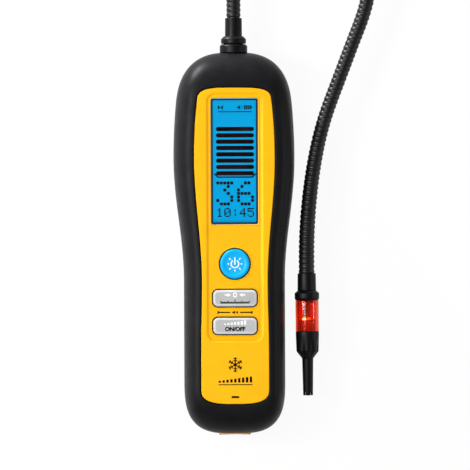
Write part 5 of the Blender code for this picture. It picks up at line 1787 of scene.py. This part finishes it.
@dataclass
class Gooseneck:
    """The ribbed stay-put tube, one length of skin for each link, with a ball in each joint."""

    radius: float = 3.77 * MM
    swell: float = 0.42 * MM
    swell_start: float = 190.0 * MM
    swell_run: float = 100.0 * MM
    groove: float = 0.3 * MM
    groove_power: float = 1.6
    link_count: int = 16
    ribs_per_link: int = 7
    rows_per_rib: int = 10
    around: int = 32
    start_y: float = 119.275 * MM
    loop_radius: float = 35.9 * MM
    loop_rise: float = 19.0 * MM
    run: tuple[Point, ...] = (
        (70.8 * MM, 128.5 * MM),
        (63.7 * MM, 107.4 * MM),
        (55.6 * MM, 86.2 * MM),
        (47.9 * MM, 65.1 * MM),
        (42.8 * MM, 43.9 * MM),
        (39.8 * MM, 22.7 * MM),
        (38.35 * MM, 1.6 * MM),
        (38.25 * MM, -19.2 * MM),
    )
    joint_gap: float = 0.38 * MM
    ball_play: float = 0.02 * MM
    ball_steps: int = 8
    ball_end: float = math.radians(-62)
    bore_depth: float = 3.7 * MM

    def __post_init__(self) -> None:
        """Lays the route: up from the gland, over the loop and down beside the housing."""
        centre = self.start_y + self.loop_rise
        points = [(0.0, self.start_y), (0.0, (self.start_y + centre) / 2)]
        for degrees in range(180, -1, -30):
            angle = math.radians(degrees)
            x = self.loop_radius * (1 + math.cos(angle))
            points.append((x, centre + self.loop_radius * math.sin(angle)))
        self.route = Route([*points, *self.run])
        self.link = self.route.length / self.link_count
        self.pitch = self.link / self.ribs_per_link

    def crest(self, length: float) -> float:
        """Returns the radius over the ribs at a place along the route."""
        return self.radius + self.swell * float(eased((length - self.swell_start) / self.swell_run))

    def ring(self, middle: np.ndarray, heading: np.ndarray, reach: float) -> np.ndarray:
        """Gives the points of one ring across the tube.

        Args:
            middle: The ring's centre.
            heading: The tube's direction there.
            reach: The ring's radius.

        Returns:
            The points round the tube.
        """
        turns = np.arange(self.around) * math.tau / self.around
        across = np.array((-heading[1], heading[0]))
        ring = np.empty((self.around, 3))
        ring[:, :2] = middle + across * (reach * np.cos(turns))[:, None]
        ring[:, 2] = PARTING_Z + reach * np.sin(turns)
        return ring

    def rib(self, length: float) -> np.ndarray:
        """Returns one ring of the ribbed skin."""
        wave = (1 + math.cos(math.tau * length / self.pitch)) / 2
        reach = self.crest(length) - self.groove * wave**self.groove_power
        return self.ring(*self.route.frame(length), reach)

    def ball(self, joint: float) -> list[np.ndarray]:
        """Gives the ball at a joint, from its back up to the ribbed skin.

        Args:
            joint: Where the joint lies along the route.

        Returns:
            The ball's rings.
        """
        radius = self.crest(joint) - self.groove - self.ball_play
        front = math.asin(self.joint_gap / radius)
        middle, heading = self.route.frame(joint)
        rings = []
        for angle in np.linspace(self.ball_end, front, self.ball_steps + 1):
            centre = middle + heading * radius * math.sin(angle)
            rings.append(self.ring(centre, heading, radius * math.cos(angle)))
        return rings

    def skin_normals(self, grid: np.ndarray) -> np.ndarray:
        """Works out the smooth normals of the ribbed skin.

        Args:
            grid: The skin's rings, with one more at each end.

        Returns:
            A unit normal for each point but those of the first ring and the last.
        """
        along = grid[2:] - grid[:-2]
        around = np.roll(grid, -1, axis=1) - np.roll(grid, 1, axis=1)
        normals = np.cross(around[1:-1], along)
        normals /= np.linalg.norm(normals, axis=2)[:, :, None]
        outward = grid[1:-1] - grid[1:-1].mean(axis=1)[:, None, :]
        return normals * np.sign((normals * outward).sum(axis=2))[:, :, None]

    def length_of_skin(self, number: int) -> bpy.types.Object:
        """Builds one closed length of the tube, with a ball at its start and a bore at its end.

        Args:
            number: Which link it covers, from 1 at the gland.

        Returns:
            The piece, riding on its link.
        """
        start, end = (number - 1) * self.link, number * self.link
        low, high = start + self.joint_gap, end - self.joint_gap
        rows = max(2, round((high - low) / self.pitch * self.rows_per_rib))
        step = (high - low) / rows
        grid = np.array([self.rib(low + step * index) for index in range(-1, rows + 2)])
        ball = self.ball(start)
        bore = self.crest(end) - self.groove - self.ball_play / 2
        ends = (high, high - self.bore_depth)
        walls = [self.ring(*self.route.frame(length), bore) for length in ends]
        draft = Draft()
        rings = [draft.row(points) for points in (*ball, *grid[1:-1], *walls)]
        draft.skin(rings)
        draft.cap(rings[0])
        draft.cap(rings[-1])
        piece = draft.solid(f"neck_skin_{number:02d}")
        body = PROBE if number == self.link_count else f"neck_{number:02d}"
        dress(piece, NECK_BLACK, body, [f"gooseneck_link_{number:02d}"], crease=180)
        normals = self.skin_normals(grid).reshape(-1, 3)
        spread = np.zeros((len(piece.data.vertices), 3))
        first = len(ball) * self.around
        spread[first : first + len(normals)] = normals
        piece.data.normals_split_custom_set_from_vertices(spread.tolist())
        return piece

    def build(self) -> list[bpy.types.Object]:
        """Returns the lengths of skin, one for each link."""
        return [self.length_of_skin(number) for number in range(1, self.link_count + 1)]


@dataclass
class Probe:
    """The probe: ferrule, collar, lit red lens and screw-on tip, along its own Z."""

    route: Route
    corner: float = 0.3 * MM
    seam: float = 0.02 * MM
    neck_bore: float = 2.2 * MM
    neck_radius: float = 4.2 * MM
    sleeve_depth: float = 3.0 * MM
    sleeve_top_radius: float = 4.8 * MM
    sleeve_radius: float = 4.95 * MM
    sleeve_length: float = 9.4 * MM
    collar_radius: float = 6.5 * MM
    collar_length: float = 4.6 * MM
    lens_radius: float = 6.15 * MM
    lens_wall: float = 1.5 * MM
    lens_length: float = 16.3 * MM
    lamp_hole: float = 2.2 * MM
    board_rise: float = 0.8 * MM
    band_drop: float = 5.6 * MM
    band_height: float = 0.35 * MM
    barrel_length: float = 10.4 * MM
    barrel_end: float = 5.85 * MM
    taper_length: float = 3.7 * MM
    tube_radius: float = 2.95 * MM
    tube_end: float = 2.6 * MM
    tube_length: float = 19.6 * MM
    tip_bore: float = 1.4 * MM
    tip_corner: float = 0.45 * MM
    spigot_length: float = 4.0 * MM
    spigot_radius: float = 2.85 * MM
    chamber_radius: float = 1.95 * MM
    chamber_depth: float = 4.4 * MM
    flutes: int = 8
    flute_depth: float = 0.75 * MM
    flute_start: float = 3.0 * MM
    flute_sides: int = 160
    longest_step: float = 0.6 * MM
    notch: Oblong = Oblong(8 * MM, 1.5 * MM, 0.3 * MM)
    notch_depth: float = 2.0 * MM
    notch_turns: tuple[float, float] = (45.0, 135.0)

    def __post_init__(self) -> None:
        """Works out the probe's frame and the heights of its pieces."""
        (x, y), (along_x, along_y) = self.route.frame(self.route.length)
        z_axis = Vector((along_x, along_y, 0))
        x_axis = Vector((0, 0, 1))
        turn = Matrix((x_axis, z_axis.cross(x_axis), z_axis)).transposed().to_4x4()
        self.place = Matrix.Translation((x, y, PARTING_Z)) @ turn
        self.collar_z = self.sleeve_length - self.sleeve_depth
        self.lens_z = self.collar_z + self.collar_length + GAP
        self.lens_end = self.lens_z + self.lens_length
        self.shoulder = self.lens_end + GAP + self.barrel_length
        self.taper_end = self.shoulder + self.taper_length
        self.tip_end = self.taper_end + self.tube_length

    def build(self) -> list[bpy.types.Object]:
        """Returns the probe's pieces."""
        bore = self.lens_radius - self.lens_wall
        mouth = self.neck_radius + 0.05 * MM
        sleeve = [
            (mouth, -self.sleeve_depth),
            (self.sleeve_top_radius, -self.sleeve_depth),
            (self.sleeve_radius, self.collar_z - GAP),
            (self.neck_bore, self.collar_z - GAP),
            (self.neck_bore, GAP),
            (mouth, GAP),
        ]
        collar_foot = self.collar_z - GAP + self.seam
        collar_top = self.lens_z - self.seam
        collar = [
            (self.neck_bore, collar_foot),
            (self.sleeve_radius, collar_foot),
            (self.sleeve_radius + 0.4 * MM, self.collar_z + 0.1 * MM),
            (self.collar_radius, self.collar_z + 1.1 * MM),
            (self.collar_radius, collar_top - 1.0 * MM),
            (self.collar_radius - 0.5 * MM, collar_top),
            (bore - GAP, collar_top),
            (bore - GAP, self.lens_z + 0.5 * MM),
            (self.neck_bore, self.lens_z + 0.5 * MM),
        ]
        lens = [
            (bore, self.lens_z),
            (self.lens_radius, self.lens_z),
            (self.lens_radius, self.lens_end),
            (bore, self.lens_end),
        ]
        pieces = [
            turned_ring(name, profile, self.corner, self.place, finish, PROBE, [node])
            for name, profile, finish, node in (
                ("probe_ferrule", sleeve, FITTING_BLACK, "tip_ferrule"),
                ("probe_collar", collar, FITTING_BLACK, "tip_collar"),
                ("lit_lens", lens, LENS, "light_ring"),
            )
        ]
        return [*pieces, *self.lamps(bore), *self.tip()]

    def lamps(self, bore: float) -> list[bpy.types.Object]:
        """Builds what shows inside the lens: the lamps on their board and a second ring of them.

        Args:
            bore: The lens's inner radius.

        Returns:
            The pieces.
        """
        board_z = self.lens_z + self.board_rise
        band_z = self.lens_end - self.band_drop
        hole, rim = self.lamp_hole, bore - GAP
        pieces = []
        for name, foot, top, finish, nodes in (
            ("lamp_disc", board_z, board_z + MM, LAMP_BOARD, ["lamp_board"]),
            ("lamp_carrier", band_z, band_z + self.band_height, BLACK, []),
        ):
            section = [(hole, foot), (rim, foot), (rim, top), (hole, top)]
            pieces.append(
                turned_ring(name, section, self.corner, self.place, finish, PROBE, nodes)
            )
        for name, z, finish, turns, radius in (
            ("amber_lamps", board_z + MM, AMBER_LAMP, (28, 140, 260), 0.8 * MM),
            ("orange_lamps", band_z - 0.9 * MM, AMBER_LAMP, (-14, 170), 0.9 * MM),
            ("white_lamps", band_z - 0.6 * MM, WHITE_LAMP, (30,), 1.0 * MM),
        ):
            draft = Draft()
            for degrees in turns:
                angle = math.radians(degrees)
                reach = (hole + rim) / 2
                shift = Matrix.Translation((reach * math.cos(angle), reach * math.sin(angle), z))
                bmesh.ops.create_uvsphere(
                    draft.bm, u_segments=16, v_segments=10, radius=radius, matrix=shift
                )
            pieces.append(dress(draft.solid(name, self.place), finish, PROBE))
        return pieces

    def flute(self, radius: float, z: float, angle: float) -> float:
        """Gives the tip's radius with its flutes, which deepen towards the shoulder.

        Args:
            radius: The plain radius.
            z: The height along the probe.
            angle: The angle round it.

        Returns:
            The fluted radius.
        """
        start = self.lens_end + GAP + self.flute_start
        shoulder, end = self.shoulder, self.taper_end
        if z < start or z > end or radius < self.tube_radius * 0.98:
            return radius
        grow = (z - start) / (shoulder - start) if z < shoulder else (end - z) / (end - shoulder)
        ridge = abs(math.cos(self.flutes * angle / 2)) ** 0.8
        return radius - self.flute_depth * min(1.0, grow) * (1 - ridge)

    def tip_profile(self) -> list[Point]:
        """Gives the tip's section, with points close enough together for the flutes.

        Returns:
            Radius and height of each point.
        """
        start = self.lens_end + self.seam
        chamber_end = start + self.chamber_depth
        outline = [
            (self.tip_bore, self.tip_end),
            (self.tube_end, self.tip_end),
            (self.tube_radius, self.taper_end),
            (self.barrel_end, self.shoulder),
            (self.lens_radius, start + 2 * MM),
            (self.lens_radius, start),
            (self.spigot_radius, start),
            (self.spigot_radius, start - self.spigot_length),
            (self.chamber_radius, start - self.spigot_length),
            (self.chamber_radius, chamber_end),
            (self.tip_bore, chamber_end),
        ]
        rounded = softened(outline, self.tip_corner, closed=True)
        profile = []
        for near, far in zip(rounded, rounded[1:] + rounded[:1]):
            profile.append(near)
            pieces = int(math.dist(near, far) // self.longest_step)
            if min(near[0], far[0]) < self.tube_radius:
                pieces = 0
            for step in range(1, pieces):
                share = step / pieces
                profile.append(
                    (near[0] + (far[0] - near[0]) * share, near[1] + (far[1] - near[1]) * share)
                )
        return profile

    def tip(self) -> list[bpy.types.Object]:
        """Returns the screw-on tip."""
        draft = Draft()
        draft.turn(self.tip_profile(), self.flute_sides, closed=True, reach=self.flute)
        tip = draft.solid("screw_tip", self.place)
        notches = []
        for number, degrees in enumerate(self.notch_turns):
            notch = Draft()
            notch.prism(self.notch.grown(), self.tip_end - self.notch_depth, self.tip_end + MM)
            spin = self.place @ Matrix.Rotation(math.radians(degrees), 4, "Z")
            notches.append(notch.solid(f"notch_{number}", spin))
        cut(tip, notches)
        return [dress(tip, FITTING_BLACK, "screw_on_tip", ["probe_tip"], crease=40)]


@dataclass(frozen=True)
class Lamp:
    """A square soft lamp, turned to the object."""

    name: str
    place: Spot
    size: float
    power: float

    def add(self) -> None:
        """Puts the lamp into the scene."""
        data = bpy.data.lights.new(self.name, "AREA")
        data.shape = "SQUARE"
        data.size = self.size
        data.energy = self.power
        obj = bpy.data.objects.new(self.name, data)
        obj.location = self.place
        obj.rotation_euler = (-Vector(self.place)).to_track_quat("-Z", "Y").to_euler()
        bpy.context.scene.collection.objects.link(obj)


@dataclass
class Studio:
    """The pale floor, the soft lamps and the camera that looks straight down."""

    frame_width: float = 248.6 * MM
    aim: Spot = (0.4 * MM, 4.2 * MM, 18.5 * MM)
    distance: float = 3.0
    lean: float = -0.9
    roll: float = -0.22
    sensor: float = 36.0
    clip_end: float = 20.0
    floor_size: float = 6.0
    floor_drop: float = 0.02 * MM
    floor_colour: Colour = (244, 244, 244)
    floor_roughness: float = 0.9
    floor_light: float = 0.94
    ambient: float = 0.22
    backdrop: Span = (0.35, 0.12)
    lamps: tuple[Lamp, ...] = (
        Lamp("rim_lamp", (-0.66, 1.0, 0.05), 0.08, 38.0),
        Lamp("key_lamp", (-0.7, 0.12, 0.85), 0.25, 8.8),
        Lamp("left_lamp", (-0.42, 0.0, 1.1), 0.25, 4.0),
        Lamp("right_lamp", (0.95, 0.0, 0.4), 0.15, 1.6),
    )

    def background(self, graph: Graph) -> bpy.types.NodeSocket:
        """Adds the test for rays that see the background.

        Args:
            graph: The nodes of the floor or the world.

        Returns:
            1 for a ray from the camera, or one that a mirror or glass passes on, and otherwise 0.
        """
        path = graph.add("ShaderNodeLightPath")
        seen = path.outputs["Is Camera Ray"]
        for name in ("Is Glossy Ray", "Is Transmission Ray"):
            seen = graph.maths("MAXIMUM", seen, path.outputs[name])
        return seen

    def floor(self) -> None:
        """Adds the white floor, which keeps the object's shadow."""
        draft = Draft()
        half = self.floor_size / 2
        corners = ((-half, -half), (half, -half), (half, half), (-half, half))
        draft.cap(draft.row((x, y, 0) for x, y in corners))
        obj = draft.solid("floor", Matrix.Translation((0, 0, -self.floor_drop)))
        material = bpy.data.materials.new("floor_white")
        graph = Graph(material)
        graph.put("Base Color", linear(self.floor_colour))
        graph.put("Roughness", self.floor_roughness)
        graph.put("Specular IOR Level", 0.0)
        share = graph.maths("MULTIPLY", self.background(graph), self.floor_light)
        glow = graph.add("ShaderNodeEmission")
        mixer = graph.add("ShaderNodeMixShader")
        for source, target in zip((share, graph.shader.outputs[0], glow.outputs[0]), mixer.inputs):
            graph.link(source, target)
        graph.link(mixer.outputs[0], graph.tree.nodes["Material Output"].inputs["Surface"])
        obj.data.materials.append(material)

    def world(self) -> None:
        """Lights the surroundings evenly, white where they are seen."""
        scene = bpy.context.scene
        scene.world = scene.world or bpy.data.worlds.new("studio")
        graph = Graph(scene.world)
        light = graph.tree.nodes["Background"]
        light.inputs["Color"].default_value = (1, 1, 1, 1)
        heading = graph.add("ShaderNodeSeparateXYZ")
        graph.link(graph.add("ShaderNodeTexCoord").outputs["Generated"], heading.inputs[0])
        low = graph.remap(heading.outputs["Z"], self.backdrop)
        share = graph.maths("MULTIPLY", self.background(graph), low)
        graph.link(graph.remap(share, (0.0, 1.0), (self.ambient, 1.0)), light.inputs["Strength"])

    def camera(self) -> None:
        """Adds the camera, over the middle of what the picture shows."""
        data = bpy.data.cameras.new("camera")
        data.sensor_width = self.sensor
        data.lens = self.sensor * self.distance / self.frame_width
        data.clip_end = self.clip_end
        obj = bpy.data.objects.new("camera", data)
        lean = Matrix.Rotation(math.radians(self.lean), 4, "Y")
        turn = lean @ Matrix.Rotation(math.radians(self.roll), 4, "Z")
        obj.location = Vector(self.aim) + lean @ Vector((0, 0, self.distance))
        obj.rotation_euler = turn.to_euler()
        bpy.context.scene.collection.objects.link(obj)
        bpy.context.scene.camera = obj

    def build(self) -> None:
        """Sets the whole stage."""
        self.floor()
        self.world()
        for lamp in self.lamps:
            lamp.add()
        bpy.context.scene.view_settings.view_transform = "Standard"
        self.camera()


def clear_startup() -> None:
    """Removes what Blender's startup scene holds, and nothing of the model."""
    for name in ("Cube", "Light", "Camera"):
        found = bpy.data.objects.get(name)
        if found and "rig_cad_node" not in found:
            bpy.data.objects.remove(found, do_unlink=True)


def dress_nodes() -> None:
    """Gives each of the model's own nodes the finish of its material slot."""
    slots = {row["node"]: row["material_slot"] for row in frame["record"]["subparts"]}
    for name, node in frame["nodes"].items():
        finish = OWN_FINISHES.get(name) or NODE_FINISHES[slots[name]]
        for index in range(max(1, len(node.material_slots))):
            if not node.material_slots:
                node.data.materials.append(finish.material())
            node.material_slots[index].material = finish.material()


def main() -> None:
    """Builds the detector's looks and its stage."""
    logging.basicConfig(level=logging.INFO, format="%(message)s")
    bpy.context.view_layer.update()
    clear_startup()
    dress_nodes()
    Studio().build()
    shape = BodyShape()
    Boot(shape).build()
    Face(shape).build()
    Display().build()
    Keypad().build()
    FacePrint().build()
    Gland().build()
    neck = Gooseneck()
    neck.build()
    Probe(neck.route).build()


if __name__ == "__main__":
    main()
